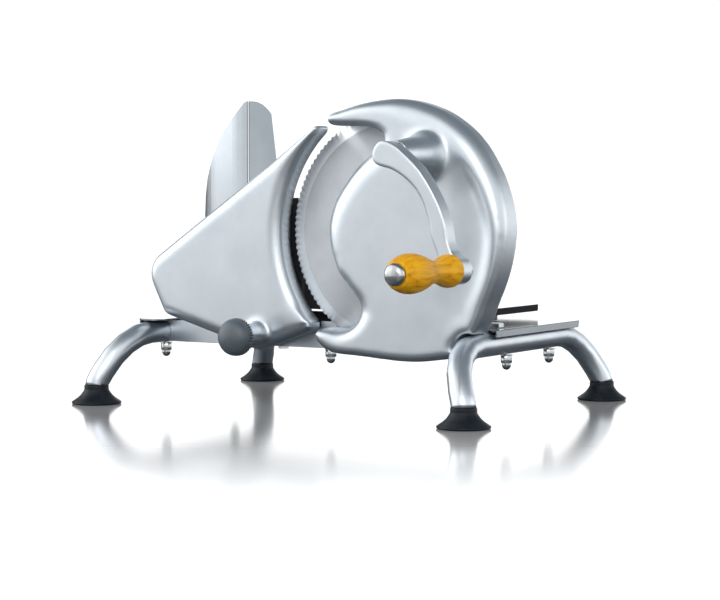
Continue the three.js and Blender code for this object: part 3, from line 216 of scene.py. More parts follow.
# painted shade: a dull black for the strip that stands in for the shade on the carriage's lip
looks["paintedShadeBlack"] = {**looks["blackRubber"], "sockets": dull}


def tint(tree, shader, texture, look):
    low, high = look.get("colourStops", (0.3, 0.7))
    shades = ramp(tree, texture, (low, look["dark"]), (high, look["light"]))
    tree.links.new(shades, shader.inputs["Base Color"])


def plainFinish(name):
    # colour, roughness and relief each follow a fine noise over the piece
    look = looks[name]
    finish, tree, shader = newFinish(name, look["metallic"], **look["sockets"])
    place = onPiece(tree, (1, 1, 1))
    textures = {}  # one noise serves all uses that give the same values
    for use in ("colour", "roughness", "relief"):
        if use in look and look[use] not in textures:
            textures[look[use]] = noise(tree, place, *look[use])
    tint(tree, shader, textures[look["colour"]], look)
    if "roughness" in look:
        gloss = ramp(tree, textures[look["roughness"]], *look["roughStops"])
        tree.links.new(gloss, shader.inputs["Roughness"])
    if "relief" in look:
        bump(tree, shader, textures[look["relief"]], *look["bump"])
    return finish


def bladeFinish():
    # ground steel: fine rings round the axis, faint cloudy wear; the ground bevel is lighter than steel, partly
    # its real grinding and partly painted light
    look = {
        "light": (0.56, 0.59, 0.62),
        "dark": (0.48, 0.51, 0.54),
        # painted light: the bevel's colours are lighter than steel's, partly for its real grinding
        "groundPaintedBright": (0.84, 0.87, 0.9),
        "groundPaintedBrightDim": (0.77, 0.8, 0.83),
        "bevelStart": 0.0842,
        "bevelFade": 0.0005,
        "ringsPerMetre": 700,
        "roughness": (0.38, 0.46),  # between and on the rings
        "stretch": (0.95, 0.3),  # of the reflections, on the dish and on the bevel
    }
    finish, tree, shader = newFinish("groundBladeSteel", 1.0, Roughness=0.42, Anisotropic=0.95)
    tangent = addNode(tree, "ShaderNodeTangent", direction_type="RADIAL", axis="Y")
    tree.links.new(tangent.outputs["Tangent"], shader.inputs["Tangent"])
    place = onPiece(tree, (1, 1, 1), (bladeX, seamY, bladeZ))
    values = {"Scale": look["ringsPerMetre"], "Distortion": 2, "Detail": 3, "Detail Scale": 2}
    rings = addNode(tree, "ShaderNodeTexWave", values, wave_type="RINGS", rings_direction="Y")
    tree.links.new(place, rings.inputs["Vector"])
    smooth, rough = look["roughness"]
    tree.links.new(ramp(tree, rings.outputs["Fac"], (0, smooth), (1, rough)), shader.inputs["Roughness"])
    shader.inputs["Anisotropic Rotation"].default_value = 0.25
    cloudy = noise(tree, place, 45, 4)
    steel = ramp(tree, cloudy, (0.3, look["dark"]), (0.7, look["light"]))
    outward = addNode(tree, "ShaderNodeVectorMath", operation="LENGTH")
    flat = onPiece(tree, (1, 0, 1), (bladeX, seamY, bladeZ))
    tree.links.new(flat, outward.inputs[0])
    fade = {"From Min": look["bevelStart"], "From Max": look["bevelStart"] + look["bevelFade"]}
    onBevel = addNode(tree, "ShaderNodeMapRange", fade)
    tree.links.new(outward.outputs["Value"], onBevel.inputs["Value"])
    # painted light: on the bevel the colour turns to the lighter ground shades
    both = addNode(tree, "ShaderNodeMix", data_type="RGBA")
    tree.links.new(onBevel.outputs["Result"], both.inputs["Factor"])
    tree.links.new(steel, both.inputs["A"])
    tree.links.new(ramp(tree, cloudy, (0.3, look["groundPaintedBrightDim"]), (0.7, look["groundPaintedBright"])), both.inputs["B"])
    tree.links.new(both.outputs["Result"], shader.inputs["Base Color"])
    dish, bevel = look["stretch"]
    stretch = ramp(tree, onBevel.outputs["Result"], (0, dish), (1, bevel))
    tree.links.new(stretch, shader.inputs["Anisotropic"])
    return finish


def sheetFinish(name, smooth, rough, light, dark):
    # stainless sheet, faintly brushed along the carriage's travel
    look = {"light": light, "dark": dark, "brushed": (10, 700, 700), "clouds": 22}
    finish, tree, shader = newFinish(name, 1.0, Roughness=smooth)
    strokes = noise(tree, onPiece(tree, look["brushed"]), 1, 2)
    tree.links.new(ramp(tree, strokes, (0.3, smooth), (0.7, rough)), shader.inputs["Roughness"])
    tint(tree, shader, noise(tree, onPiece(tree, (1, 1, 1)), look["clouds"], 3), look)
    return finish


def woodFinish():
    # varnished amber hardwood, its grain along the handle
    look = {
        "honey": (0.86, 0.45, 0.012),
        "amber": (0.7, 0.31, 0.006),
        "streak": (0.36, 0.12, 0.003),
        "along": (300, 16, 300),
        "lean": (0.05, 0, 0.06),
        "fibres": (1500, 60, 1500),
        "varnish": {"Specular_IOR_Level": 0.12, "Coat_Weight": 0.1, "Coat_Roughness": 0.1},
        "bump": (0.12, 0.00005),
    }
    finish, tree, shader = newFinish("varnishedHardwood", 0.0, Roughness=0.5, **look["varnish"])
    grain = noise(tree, onPiece(tree, look["along"], (eyeX, 0, eyeZ), look["lean"]), 1, 5, 0.62)
    shades = (0.28, look["streak"]), (0.42, look["amber"]), (0.62, look["honey"]), (0.8, look["amber"])
    tree.links.new(ramp(tree, grain, *shades), shader.inputs["Base Color"])
    bump(tree, shader, noise(tree, onPiece(tree, look["fibres"]), 1, 3), *look["bump"])
    return finish


finishes = {
    "cast_metal": plainFinish("castAluminium"),
    "tube_metal": plainFinish("silverPowderCoat"),
    "blade_steel": bladeFinish(),
    "sheet_steel": sheetFinish("satinSheet", 0.2, 0.25, (0.58, 0.62, 0.655), (0.52, 0.56, 0.6)),
    "chrome": plainFinish("chromePlate"),
    "plain_steel": plainFinish("turnedSteel"),
    "brass": plainFinish("bushBronze"),
    "black_plastic": plainFinish("blackMouldedPlastic"),
    "rubber": plainFinish("blackRubber"),
    # painted shade: the dull black of the strip on the carriage's lip
    "edgeShade": plainFinish("paintedShadeBlack"),
    "wood": woodFinish(),
    "knob": plainFinish("darkGreyPlastic"),
    # painted shade: a darker copy of the stainless sheet for the finger guard
    "guard": sheetFinish("guardSheetPaintedShade", 0.16, 0.2, (0.36, 0.39, 0.42), (0.32, 0.35, 0.38)),
    # painted shade: a darker copy of the stainless sheet, for the base plate and carriage in shade
    "polishedPaintedShade": sheetFinish("polishedSheetPaintedShade", 0.08, 0.14, (0.27, 0.3, 0.33), (0.23, 0.26, 0.285)),
}
print("materials made")


# Mesh helpers


def at(x, y, z):
    # a place measured in millimetres: x from the blade's axis, y from its cutting plane, z from the floor
    return Vector((bladeX + x * mm, seamY + y * mm, z * mm))


def objectFrom(name, bm):
    mesh = bpy.data.meshes.new(name)
    bm.to_mesh(mesh)
    bm.free()
    piece = bpy.data.objects.new(name, mesh)
    bpy.context.scene.collection.objects.link(piece)
    return piece


def finishPiece(name, bm, *replaced, sharp=35, finish=None, added=False):
    # the new piece takes its body and its slot from the first node that it stands for, or is added to
    piece = objectFrom(name, bm)
    piece.data.materials.clear()
    piece.data.materials.append(finishes[finish or slotOf[replaced[0]]])
    piece.data.shade_smooth()
    piece.data.set_sharp_from_angle(angle=math.radians(sharp))
    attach(piece, bodyOf[replaced[0]])
    if not added:
        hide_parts(*replaced)
    return piece


def copyOf(node):
    # a joined copy of a frame node, its flat triangles merged to whole faces
    bm = bmesh.new()
    bm.from_mesh(frame["nodes"][node].data)
    bmesh.ops.remove_doubles(bm, verts=bm.verts, dist=0.004 * mm)
    bmesh.ops.dissolve_limit(bm, angle_limit=math.radians(0.5), verts=bm.verts, edges=bm.edges)
    return bm


def softenEdges(piece, width):
    bevel = piece.modifiers.new("edges", "BEVEL")
    bevel.width = width * mm
    bevel.segments = 2
    bevel.limit_method = "ANGLE"
    bevel.angle_limit = math.radians(30)
    bevel.use_clamp_overlap = True
    shading = piece.modifiers.new("shading", "WEIGHTED_NORMAL")
    shading.keep_sharp = True


def between(value, start, end):
    # share of the way from start to end, no less than 0 and no more than 1
    return min(1, max(0, (value - start) / (end - start)))


def spinProfile(bm, profile, centre, steps, axis="y"):
    # turns a list of (radius, place along the axis), in millimetres, about an axis through the centre
    ring = []
    for radius, along in profile:
        place = Vector((radius, along, 0)) if axis == "y" else Vector((radius, 0, along))
        ring.append(bm.verts.new(centre + place * mm))
    edges = [bm.edges.new(pair) for pair in zip(ring, ring[1:])]
    direction = (0, 1, 0) if axis == "y" else (0, 0, 1)
    bmesh.ops.spin(
        bm, geom=ring + edges, cent=centre, axis=direction, angle=2 * math.pi, steps=steps, use_merge=True
    )
    bmesh.ops.remove_doubles(bm, verts=bm.verts, dist=0.002 * mm)
    bmesh.ops.recalc_face_normals(bm, faces=bm.faces)


def roundCorners(profile, radius, segments=3):
    # a profile whose inner corners are rounded, each by no more than its neighbours leave room for
    points = [Vector(p) for p in profile]
    out = [points[0]]
    for before, corner, after in zip(points, points[1:], points[2:]):
        reach = min(radius, (before - corner).length * 0.45, (after - corner).length * 0.45)
        start = corner + (before - corner).normalized() * reach
        end = corner + (after - corner).normalized() * reach
        for i in range(segments + 1):
            t = i / segments
            out.append(start * (1 - t) ** 2 + corner * 2 * t * (1 - t) + end * t * t)
    return [tuple(p) for p in out + [points[-1]]]


# Castings: the frame's own shape, remeshed evenly, with its edges rounded to big shoulders


def remeshed(bm, voxel):
    piece = objectFrom("remeshing", bm)
    modifier = piece.modifiers.new("remesh", "REMESH")
    modifier.mode = "VOXEL"
    modifier.voxel_size = voxel * mm
    shown = piece.evaluated_get(bpy.context.evaluated_depsgraph_get())
    fine = bmesh.new()
    fine.from_mesh(shown.to_mesh())
    bpy.data.objects.remove(piece)
    return fine


def sectionLoop(bm, y):
    # the longest loop of the section across the casting's depth, as (x, z) points
    cutting = bm.copy()
    every = cutting.verts[:] + cutting.edges[:] + cutting.faces[:]
    made = bmesh.ops.bisect_plane(cutting, geom=every, plane_co=(0, y, 0), plane_no=(0, 1, 0))["geom_cut"]
    left = {e for e in made if isinstance(e, bmesh.types.BMEdge)}
    loops = []
    while left:
        loop = list(left.pop().verts)
        while True:
            onward = next((e for e in loop[-1].link_edges if e in left), None)
            if onward is None:
                break
            left.remove(onward)
            loop.append(onward.other_vert(loop[-1]))
        loops.append([Vector((v.co.x, v.co.z)) for v in loop])
    cutting.free()
    return max(loops, key=lambda points: max(p.x for p in points) - min(p.x for p in points))


shoulders = {
    "mostOfThickness": 0.47,  # a shoulder is no wider than this share of the casting there
    "straightIn": 0.9,  # nearer to the outline than this, its own inward direction is used
    "wall": 0.8,  # how near to the outline the wall below a shoulder is laid on it
    "above": 0.4,  # how far in front of the face a place may lie and still move
}


class Outline:
    # a smooth closed curve through a casting's section; each sample holds its place, its inward direction
    # and how far inside it the casting's own flat side lies
    def __init__(self, points, spacing=0.5):
        if (points[0] - points[-1]).length < 0.01 * mm:
            points = points[:-1]
        # the loop comes from any start and either way round; here it always runs the same
        if sum(a.x * b.y - b.x * a.y for a, b in zip(points, points[1:] + points[:1])) < 0:
            points = points[::-1]
        count = len(points)
        first = min(range(count), key=lambda i: tuple(points[i]))
        points = points[first:] + points[:first]
        self.samples = []
        for i in range(count):
            before, start, end, after = (points[(i + k) % count] for k in (-1, 0, 1, 2))
            length = (end - start).length
            leave = (end - before).normalized() * length
            arrive = (after - start).normalized() * length
            steps = max(2, math.ceil(length / (spacing * mm)))
            for j in range(steps):
                t = j / steps
                place = start * (2 * t**3 - 3 * t * t + 1) + end * (3 * t * t - 2 * t**3)
                place += leave * (t**3 - 2 * t * t + t) + arrive * (t**3 - t * t)
                along = leave.lerp(arrive, t)
                inward = Vector((-along.y, along.x)).normalized()
                self.samples.append((place, inward, (start.lerp(end, t) - place).dot(inward)))
        self.measureThickness()
        self.tree = KDTree(len(self.samples))
        for index, (place, _, _) in enumerate(self.samples):
            self.tree.insert((place.x, place.y, 0), index)
        self.tree.balance()

    def measureThickness(self, step=3, spread=20, window=3, opposite=-0.35, slack=1.15):
        # how far the opposite side lies from each sample, evened along the outline; step skips samples,
        # the least within the window counts, and its mean over the spread may pass it by the slack
        few = self.samples[::step]
        across = []
        for place, inward, _ in few:
            facing = [
                q for q, other, _ in few if other.dot(inward) < opposite and (q - place).dot(inward) > 0
            ]
            across.append(min((q - place).length for q in facing))

        def around(values, i, reach):
            return [values[(i + k) % len(values)] for k in range(-reach, reach + 1)]

        least = [min(around(across, i, window)) for i in range(len(few))]
        even = [sum(around(least, i, spread)) / (2 * spread + 1) for i in range(len(few))]
        pairs = [(even[i // step], least[i // step] * slack) for i in range(len(self.samples))]
        self.thickness = [min(pair) for pair in pairs]

    def nearest(self, x, z):
        _, index, _ = self.tree.find((x, z, 0))
        return *self.samples[index], self.thickness[index]


def roundShoulder(bm, outline, face, toward, size, skin=0.86):
    # rounds the edge between a casting's face and its wall; size gives the width, depth and fullness at a
    # place on the outline, and what lies nearer to the surface than skin is laid on the surface
    for vert in bm.verts:
        place, inward, inset, thickness = outline.nearest(vert.co.x, vert.co.z)
        width, depth, fullness = size(inward)
        width = min(width, shoulders["mostOfThickness"] * thickness)
        offset = Vector((vert.co.x, vert.co.z)) - place
        inside = offset.length > shoulders["straightIn"] * mm and offset.dot(inward) > 0
        direction = offset.normalized() if inside else inward
        far = offset.dot(direction)
        d = far - inset
        t = (vert.co.y - face) * toward
        if d > width or t > depth or t < -shoulders["above"] * mm:
            if d < shoulders["wall"] * mm and t > 0:  # the wall follows the smooth curve too
                vert.co.x -= direction.x * far
                vert.co.z -= direction.y * far
            continue
        a, b = 1 - max(d, 0) / width, 1 - max(t, 0) / depth
        longest, length = max(a, b), (a**fullness + b**fullness) ** (1 / fullness)
        if longest > skin:
            longest = 1
        if length > 1e-6:
            a, b = a * longest / length, b * longest / length
        moved = width * (1 - a) - far
        vert.co.x += direction.x * moved
        vert.co.z += direction.y * moved
        vert.co.y = face + toward * depth * (1 - b)


def smoothWhere(bm, keep, times):
    chosen = [v for v in bm.verts if keep(v.co)]
    axes = {"use_axis_x": True, "use_axis_y": True, "use_axis_z": True}
    for _ in range(times):
        bmesh.ops.smooth_vert(bm, verts=chosen, factor=0.5, **axes)


def away(place, x, z):
    return math.hypot(place.x - x, place.z - z)


# Blade housing

housing = {
    "voxel": 1.25,
    "frontY": -28,
    "sectionY": -14,
    "shoulder": 9.5,  # width at the right
    "rise": 8,  # added to the width at the top, taken off at the bottom
    "leastShoulder": 5,
    "hollowShoulder": 7,  # added along the hollow edge at the left
    "shoulderDepth": 14,
    "discX": 4.5,
    "discRadius": 57,
    "channelDepth": 3.2,
    "channelLow": 0.74,  # share of the way to the crest where it is deepest
    "channelBegins": (-55, 5),  # angles round the blade's axis, in degrees, over which it fades in
    "channelEnds": 82,
    "channelFadeOut": 30,
    "channelFromBoss": (20, 48),  # distances from the crank over which it fades in
    "channelReach": (-0.5, 12),  # how far behind the face it moves the casting
    "filletOuter": 26,
    "filletFront": 3,
    "filletBack": 12,
    "filletPasses": 26,
    "smoothDepth": 44,
    "smoothPasses": 9,
}


def housingShoulder(inward):
    width = max(housing["leastShoulder"], housing["shoulder"] - housing["rise"] * inward.y)
    width += housing["hollowShoulder"] * max(0, inward.x) ** 2
    return width * mm, min(width, housing["shoulderDepth"]) * mm, 2


def channelDepth(co, outline):
    # shallow channel between the central disc and the crest along the right side
    fromDisc = away(co, bladeX + housing["discX"] * mm, bladeZ) / mm - housing["discRadius"]
    if fromDisc <= 0 or co.x < bladeX:
        return 0
    place, inward, _, _ = outline.nearest(co.x, co.z)
    toCrest = ((Vector((co.x, co.z)) - place).length - housingShoulder(inward)[0]) / mm
    if toCrest <= 0:
        return 0
    across, low = fromDisc / (fromDisc + toCrest), housing["channelLow"]
    share = across / low if across < low else (1 - across) / (1 - low)
    profile = 0.5 - 0.5 * math.cos(math.pi * share)
    angle = math.degrees(math.atan2(co.z - bladeZ, co.x - bladeX))
    reach = between(angle, *housing["channelBegins"])
    reach *= between(housing["channelEnds"] - angle, 0, housing["channelFadeOut"])
    fromBoss = between(away(co, crankX, crankZ) / mm, *housing["channelFromBoss"])
    return housing["channelDepth"] * profile * reach * fromBoss**2 * (3 - 2 * fromBoss)


def makeHousing():
    solid = copyOf("blade_housing")
    front = seamY + housing["frontY"] * mm
    outline = Outline(sectionLoop(solid, seamY + housing["sectionY"] * mm))
    bm = remeshed(solid, housing["voxel"])
    roundShoulder(bm, outline, front, 1, housingShoulder)
    start, reach = housing["channelReach"]
    for vert in bm.verts:
        behind = (vert.co.y - front) / mm
        if start < behind < reach:
            vert.co.y += channelDepth(vert.co, outline) * (1 - max(behind, 0) / reach) * mm
    low, high = front - housing["filletBack"] * mm, front + housing["filletFront"] * mm
    atBoss = lambda co: away(co, crankX, crankZ) < housing["filletOuter"] * mm and low < co.y < high
    smoothWhere(bm, atBoss, housing["filletPasses"])
    smoothWhere(bm, lambda co: co.y > front - housing["smoothDepth"] * mm, housing["smoothPasses"])
    finishPiece("bladeHousing", bm, "blade_housing", sharp=70)


makeHousing()
print("housing made")


# Stop plate

stopPlate = {
    "voxel": 1.2,
    "frontY": -21,
    "sectionY": -12,
    "shoulder": 10,
    "bladeSideWidth": 9.5,
    "bladeSideDepth": 6,
    "bladeSideBevel": 0.5,  # nearer to a flat bevel than the other sides
    "bladeSideFrom": 0.35,  # how far a side turns to the right before it counts as the blade's
    "bladeSideFade": 0.3,
    "filletOuter": 17,
    "filletFront": 2,
    "filletBack": 6,
    "filletPasses": 20,
    "smoothDepth": 20,
    "smoothPasses": 7,
}


def stopShoulder(inward):
    # the hollow side faces right
    beside = between(-inward.x - stopPlate["bladeSideFrom"], 0, stopPlate["bladeSideFade"])
    width = stopPlate["shoulder"] * (1 - beside) + stopPlate["bladeSideWidth"] * beside
    depth = stopPlate["shoulder"] * (1 - beside) + stopPlate["bladeSideDepth"] * beside
    return width * mm, depth * mm, 2 - stopPlate["bladeSideBevel"] * beside


def makeStopPlate():
    solid = copyOf("stop_plate")
    front = seamY + stopPlate["frontY"] * mm
    outline = Outline(sectionLoop(solid, seamY + stopPlate["sectionY"] * mm))
    bm = remeshed(solid, stopPlate["voxel"])
    roundShoulder(bm, outline, front, 1, stopShoulder)
    low, high = front - stopPlate["filletBack"] * mm, front + stopPlate["filletFront"] * mm
    atBoss = lambda co: away(co, knobX, knobZ) < stopPlate["filletOuter"] * mm and low < co.y < high
    smoothWhere(bm, atBoss, stopPlate["filletPasses"])
    smoothWhere(bm, lambda co: co.y > front - stopPlate["smoothDepth"] * mm, stopPlate["smoothPasses"])
    finishPiece("stopPlate", bm, "stop_plate", sharp=70)


makeStopPlate()
print("stop plate made")


# Crank arm

crankArm = {
    "voxel": 0.75,
    "edge": 2.2,
    "skin": 0.5,
    "sectionY": -81,
    "frontY": -88.6,
    "backY": -73.6,
    "smoothPasses": 3,
}


def makeCrankArm():
    solid = copyOf("crank_arm")
    outline = Outline(sectionLoop(solid, seamY + crankArm["sectionY"] * mm))
    bm = remeshed(solid, crankArm["voxel"])
    edge = lambda inward: (crankArm["edge"] * mm, crankArm["edge"] * mm, 2)
    for side, toward in (("frontY", 1), ("backY", -1)):
        roundShoulder(bm, outline, seamY + crankArm[side] * mm, toward, edge, crankArm["skin"])
    smoothWhere(bm, lambda co: True, crankArm["smoothPasses"])
    finishPiece("crankArm", bm, "crank_arm", sharp=70)


makeCrankArm()
print("crank arm made")


# Turned handle, its end cap and the knob

handle = {
    "profile": (
        (4.0, 0), (9.4, 0), (11.1, 0.8), (12.05, 3), (12.3, 6), (11.9, 9.6), (10.7, 13.6), (9.2, 18.6),
        (8.4, 24), (8.3, 28), (8.9, 34), (10.6, 40), (12.6, 47), (14.0, 54.5), (14.5, 61), (13.9, 68),
        (12.2, 74), (10.0, 78.6), (8.9, 80), (4.0, 80),
    ),
    "backY": -88.9,
    "capRadius": 8,
    "capHeight": 5.5,
    "capAngles": (0.2, 0.45, 0.7, 0.95, 1.2, 1.4),
    "capY": -169.5,
}


def makeGrip():
    bm = bmesh.new()
    profile = [(r, -along) for r, along in handle["profile"]]
    spinProfile(bm, profile + profile[:1], Vector((eyeX, seamY + handle["backY"] * mm, eyeZ)), 40)
    grip = finishPiece("handleGrip", bm, "handle_grip", sharp=60)
    rounding = grip.modifiers.new("rounding", "SUBSURF")
    rounding.levels = rounding.render_levels = 2


def makeEndCap():
    bm = bmesh.new()
    r, h = handle["capRadius"], handle["capHeight"]
    profile = [(0, 0), (r * 0.98, 0), (r, -h * 0.06), (r, -h * 0.28)]
    profile += [(r * math.cos(a), -h * (0.28 + 0.72 * math.sin(a))) for a in handle["capAngles"]]
    spinProfile(bm, profile + [(0, -h)], Vector((eyeX, seamY + handle["capY"] * mm, eyeZ)), 64)
    finishPiece("handleEndCap", bm, "handle_end_cap", sharp=50)


makeGrip()
makeEndCap()

knob = {
    "radius": 15,
    "ribs": 40,
    "ribDepth": 0.9,
    "ribbed": (0.5, 5.6),  # from the back
    "rim": 11,
    "domeFrom": 6,
    "dome": 4.5,
    "domeAngles": (0.12, 0.3, 0.5, 0.7, 0.9, 1.1, 1.3, 1.45),
    "backY": -47.3,
    "well": 4.4,
    "wellDepth": 5.2,
}


def makeKnob():
    bm = bmesh.new()
    r, rim, dome = knob["radius"], knob["rim"], knob["dome"]
    plain = r - knob["ribDepth"] / 2
    profile = [(knob["well"], -knob["wellDepth"]), (knob["well"], 0), (plain - 1, 0), (plain, -0.9)]
    profile += [(plain, -2.6), (plain, -4.4), (plain, -5.4), (plain - 0.5, -5.9)]
    start, rise = knob["domeFrom"], rim + dome - knob["domeFrom"]
    profile += [(r * math.cos(a) - 0.3, -(start + rise * math.sin(a))) for a in knob["domeAngles"]]
    profile += [(0, -rim - dome)]
    centre = Vector((knobX, seamY + knob["backY"] * mm, knobZ))
    spinProfile(bm, profile, centre, knob["ribs"] * 6)
    for vert in bm.verts:
        behind = (centre.y - vert.co.y) / mm
        radius = away(vert.co, knobX, knobZ) / mm
        low, high = knob["ribbed"]
        if radius > plain - 0.1 and low < behind < high:
            wave = math.cos(knob["ribs"] * math.atan2(vert.co.z - knobZ, vert.co.x - knobX))
            scale = 1 + knob["ribDepth"] / 2 * math.copysign(abs(wave) ** 0.5, wave) / plain
            vert.co.x = knobX + (vert.co.x - knobX) * scale
            vert.co.z = knobZ + (vert.co.z - knobZ) * scale
    finishPiece("thicknessKnob", bm, "thickness_knob", sharp=40, finish="knob")


makeKnob()
print("handle and knob made")


# Blade: dished disc, ground bevel and a wavy toothed rim

blade = {
    "radius": 95,
    "teeth": 120,
    "toothDepth": 1,
    "toothSet": 0.2,  # how far the waves also stand back on the ground side
    "toothedFrom": 90,
    "stepsPerTooth": 6,
    "groundSide": 0.3,  # farther than this in front of the cutting plane
    "front": (
        (12, -9), (24, -9), (36, -9), (40, -8.9), (46, -8.1), (60, -6.3), (76, -4.1), (82.5, -3.2),
        (84, -2.9),
    ),
    "bevel": ((84.5, -2.75), (88, -1.95), (91, -1.3), (93.4, -0.8), (95, -0.35)),
    "back": ((95, 0), (92, -0.15), (84, -1), (76, -2.1), (60, -4.3), (44, -6.4), (40, -7), (12, -7)),
}


def makeBlade():
    bm = bmesh.new()
    profile = [*blade["front"], *blade["bevel"], *blade["back"]]
    centre = Vector((bladeX, seamY, bladeZ))
    spinProfile(bm, [*profile, profile[0]], centre, blade["teeth"] * blade["stepsPerTooth"])
    for vert in bm.verts:
        radius = away(vert.co, bladeX, bladeZ) / mm
        if radius > blade["toothedFrom"]:
            angle = math.atan2(vert.co.z - bladeZ, vert.co.x - bladeX)
            wave = 0.5 - 0.5 * math.cos(blade["teeth"] * angle)
            near = (radius - blade["toothedFrom"]) / (blade["radius"] - blade["toothedFrom"])
            scale = 1 - blade["toothDepth"] * wave * near / radius
            vert.co.x = bladeX + (vert.co.x - bladeX) * scale
            vert.co.z = bladeZ + (vert.co.z - bladeZ) * scale
            if vert.co.y < seamY - blade["groundSide"] * mm:
                vert.co.y += blade["toothSet"] * wave * near * mm
    finishPiece("slicingBlade", bm, "blade", sharp=28)


makeBlade()
print("blade made")


# Legs: bent tubes, rubber feet and cap nuts

legs = {
    "radius": 9.48,
    "wall": 1.5,
    "height": 56.8,
    "pathStart": 6,
    "start": 15.9,  # the tube is cut off here, inside the foot
    "knee": 17,
    "kneeRadius": 18,
    "bendRadius": 48.9,
    "lean": 15,
    "sides": {"left": (-230.715, -248.315), "right": (76.285, 93.885)},
    "frontY": -64,
    "backY": 180.2,
    "ringSteps": 32,
}


def bentPath(corners, radii, spacing=3):
    # points along straight stretches joined by arcs
    path = [corners[0]]
    for before, corner, after, radius in zip(corners, corners[1:], corners[2:], radii):
        back, forth = (before - corner).normalized(), (after - corner).normalized()
        half = back.angle(forth) / 2
        centre = corner + (back + forth).normalized() * radius / math.sin(half)
        enter = corner + back * radius / math.tan(half) - centre
        leave = corner + forth * radius / math.tan(half) - centre
        turn = enter.angle(leave)
        steps = max(4, round(turn * radius / spacing))
        for i in range(steps + 1):
            t = i / steps
            arm = (enter * math.sin((1 - t) * turn) + leave * math.sin(t * turn)) / math.sin(turn)
            path.append(centre + arm)
    return path + [corners[-1]]


def makeTube(side):
    top, foot = legs["sides"][side]
    lean, knee = legs["lean"], legs["knee"]
    corners = [
        at(foot, legs["frontY"], legs["pathStart"]),
        at(foot, legs["frontY"], knee),
        at(top, legs["frontY"] + lean, legs["height"]),
        at(top, legs["backY"] - lean, legs["height"]),
        at(foot, legs["backY"], knee),
        at(foot, legs["backY"], legs["pathStart"]),
    ]
    radii = [legs[bend] * mm for bend in ("kneeRadius", "bendRadius", "bendRadius", "kneeRadius")]
    path = bentPath(corners, radii)
    bm = bmesh.new()
    radius = legs["radius"] * mm
    ring = bmesh.ops.create_circle(bm, segments=legs["ringSteps"], radius=radius)["verts"]
    edges = list({e for v in ring for e in v.link_edges})
    bmesh.ops.translate(bm, verts=ring, vec=path[0])
    heading = Vector((0, 0, 1))
    for i in range(1, len(path)):
        made = bmesh.ops.extrude_edge_only(bm, edges=edges)["geom"]
        ring = [g for g in made if isinstance(g, bmesh.types.BMVert)]
        edges = [g for g in made if isinstance(g, bmesh.types.BMEdge) and all(v in ring for v in g.verts)]
        ahead = path[min(i + 1, len(path) - 1)] - path[i - 1]
        ahead.normalize()
        turn = heading.rotation_difference(ahead).to_matrix()
        bmesh.ops.translate(bm, verts=ring, vec=path[i] - path[i - 1])
        bmesh.ops.rotate(bm, verts=ring, cent=path[i], matrix=turn)
        heading = ahead
    every = bm.verts[:] + bm.edges[:] + bm.faces[:]
    bmesh.ops.bisect_plane(
        bm, geom=every, plane_co=(0, 0, legs["start"] * mm), plane_no=(0, 0, 1), clear_inner=True
    )
    bmesh.ops.recalc_face_normals(bm, faces=bm.faces)
    piece = finishPiece(side + "LegTube", bm, side + "_leg_tube", sharp=60)
    wall = piece.modifiers.new("wall", "SOLIDIFY")
    wall.thickness = legs["wall"] * mm
    wall.offset = -1


for side in ("left", "right"):
    makeTube(side)

foot = {
    "profile": (
        (0, 0.5), (12, 0.5), (15, 0), (18.4, 0), (19.9, 0.35), (20.5, 1.1), (20.3, 1.9), (18.2, 3.3),
        (15.4, 5.2), (13.0, 7.4), (11.2, 9.8), (10.2, 11.6), (10.0, 12.2), (10.05, 13.4), (10.0, 15.2),
        (9.7, 15.6), (8.2, 15.6), (0, 15.6),
    ),
}


def makeFoot(node, name):
    low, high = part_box(node)
    centre = Vector(((low.x + high.x) / 2, (low.y + high.y) / 2, 0))
    bm = bmesh.new()
    spinProfile(bm, roundCorners(foot["profile"], 0.4, 2), centre, 56, "z")
    finishPiece(name, bm, node, sharp=50)


for end in ("front", "back"):
    for side in ("left", "right"):
        makeFoot(f"foot_{end}_{side}", f"{end}{side.capitalize()}Foot")
print("legs and feet made")


# Cap nuts: washer, hexagon and dome

capNut = {
    "across": 8,
    "hexagon": 6,
    "edge": 0.45,
    "domeRadius": 3.6,
    "domeHeight": 5.4,
    "domeAngles": (0.15, 0.4, 0.7, 1.0, 1.3),
    "washerRadius": 5,
    "washerHeight": 0.8,
}


def makeCapNut(node, name):
    low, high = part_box(node)
    centre = Vector(((low.x + high.x) / 2, (low.y + high.y) / 2, high.z))
    washer, hexagon = capNut["washerHeight"], capNut["hexagon"]
    bm = bmesh.new()
    r = capNut["washerRadius"]
    spinProfile(bm, roundCorners([(0, 0), (r, 0), (r, -washer), (0, -washer)], 0.2, 2), centre, 40, "z")
    corner = capNut["across"] / math.sqrt(3) * mm
    made = bmesh.ops.create_cone(
        bm, cap_ends=True, segments=6, radius1=corner, radius2=corner, depth=hexagon * mm
    )["verts"]
    bmesh.ops.translate(bm, verts=made, vec=centre - Vector((0, 0, washer + hexagon / 2)) * mm)
    edges = list({e for v in made for e in v.link_edges})
    edge = capNut["edge"] * mm
    bmesh.ops.bevel(bm, geom=edges, offset=edge, segments=2, profile=0.5, affect="EDGES", material=-1)
    dome, height = capNut["domeRadius"], capNut["domeHeight"]
    base = -washer - hexagon
    profile = [(0, base + 0.3), (dome * 0.98, base + 0.3), (dome, base - height * 0.25)]
    for a in capNut["domeAngles"]:
        profile.append((dome * math.cos(a), base - height * (0.3 + 0.7 * math.sin(a))))
    spinProfile(bm, profile + [(0, base - height)], centre, 36, "z")
    finishPiece(name, bm, node, sharp=38)


nutNames = {
    "cap_nut_right_front": "rightFrontCapNut",
    "cap_nut_right_back": "rightBackCapNut",
    "cap_nut_left": "leftCapNut",
    "cap_nut_left_back": "leftBackCapNut",
    "cap_nut_centre": "centreCapNut",
}
for node, name in nutNames.items():
    makeCapNut(node, name)
print("cap nuts made")


# Sheet parts and small fittings: the frame's shapes with softened edges

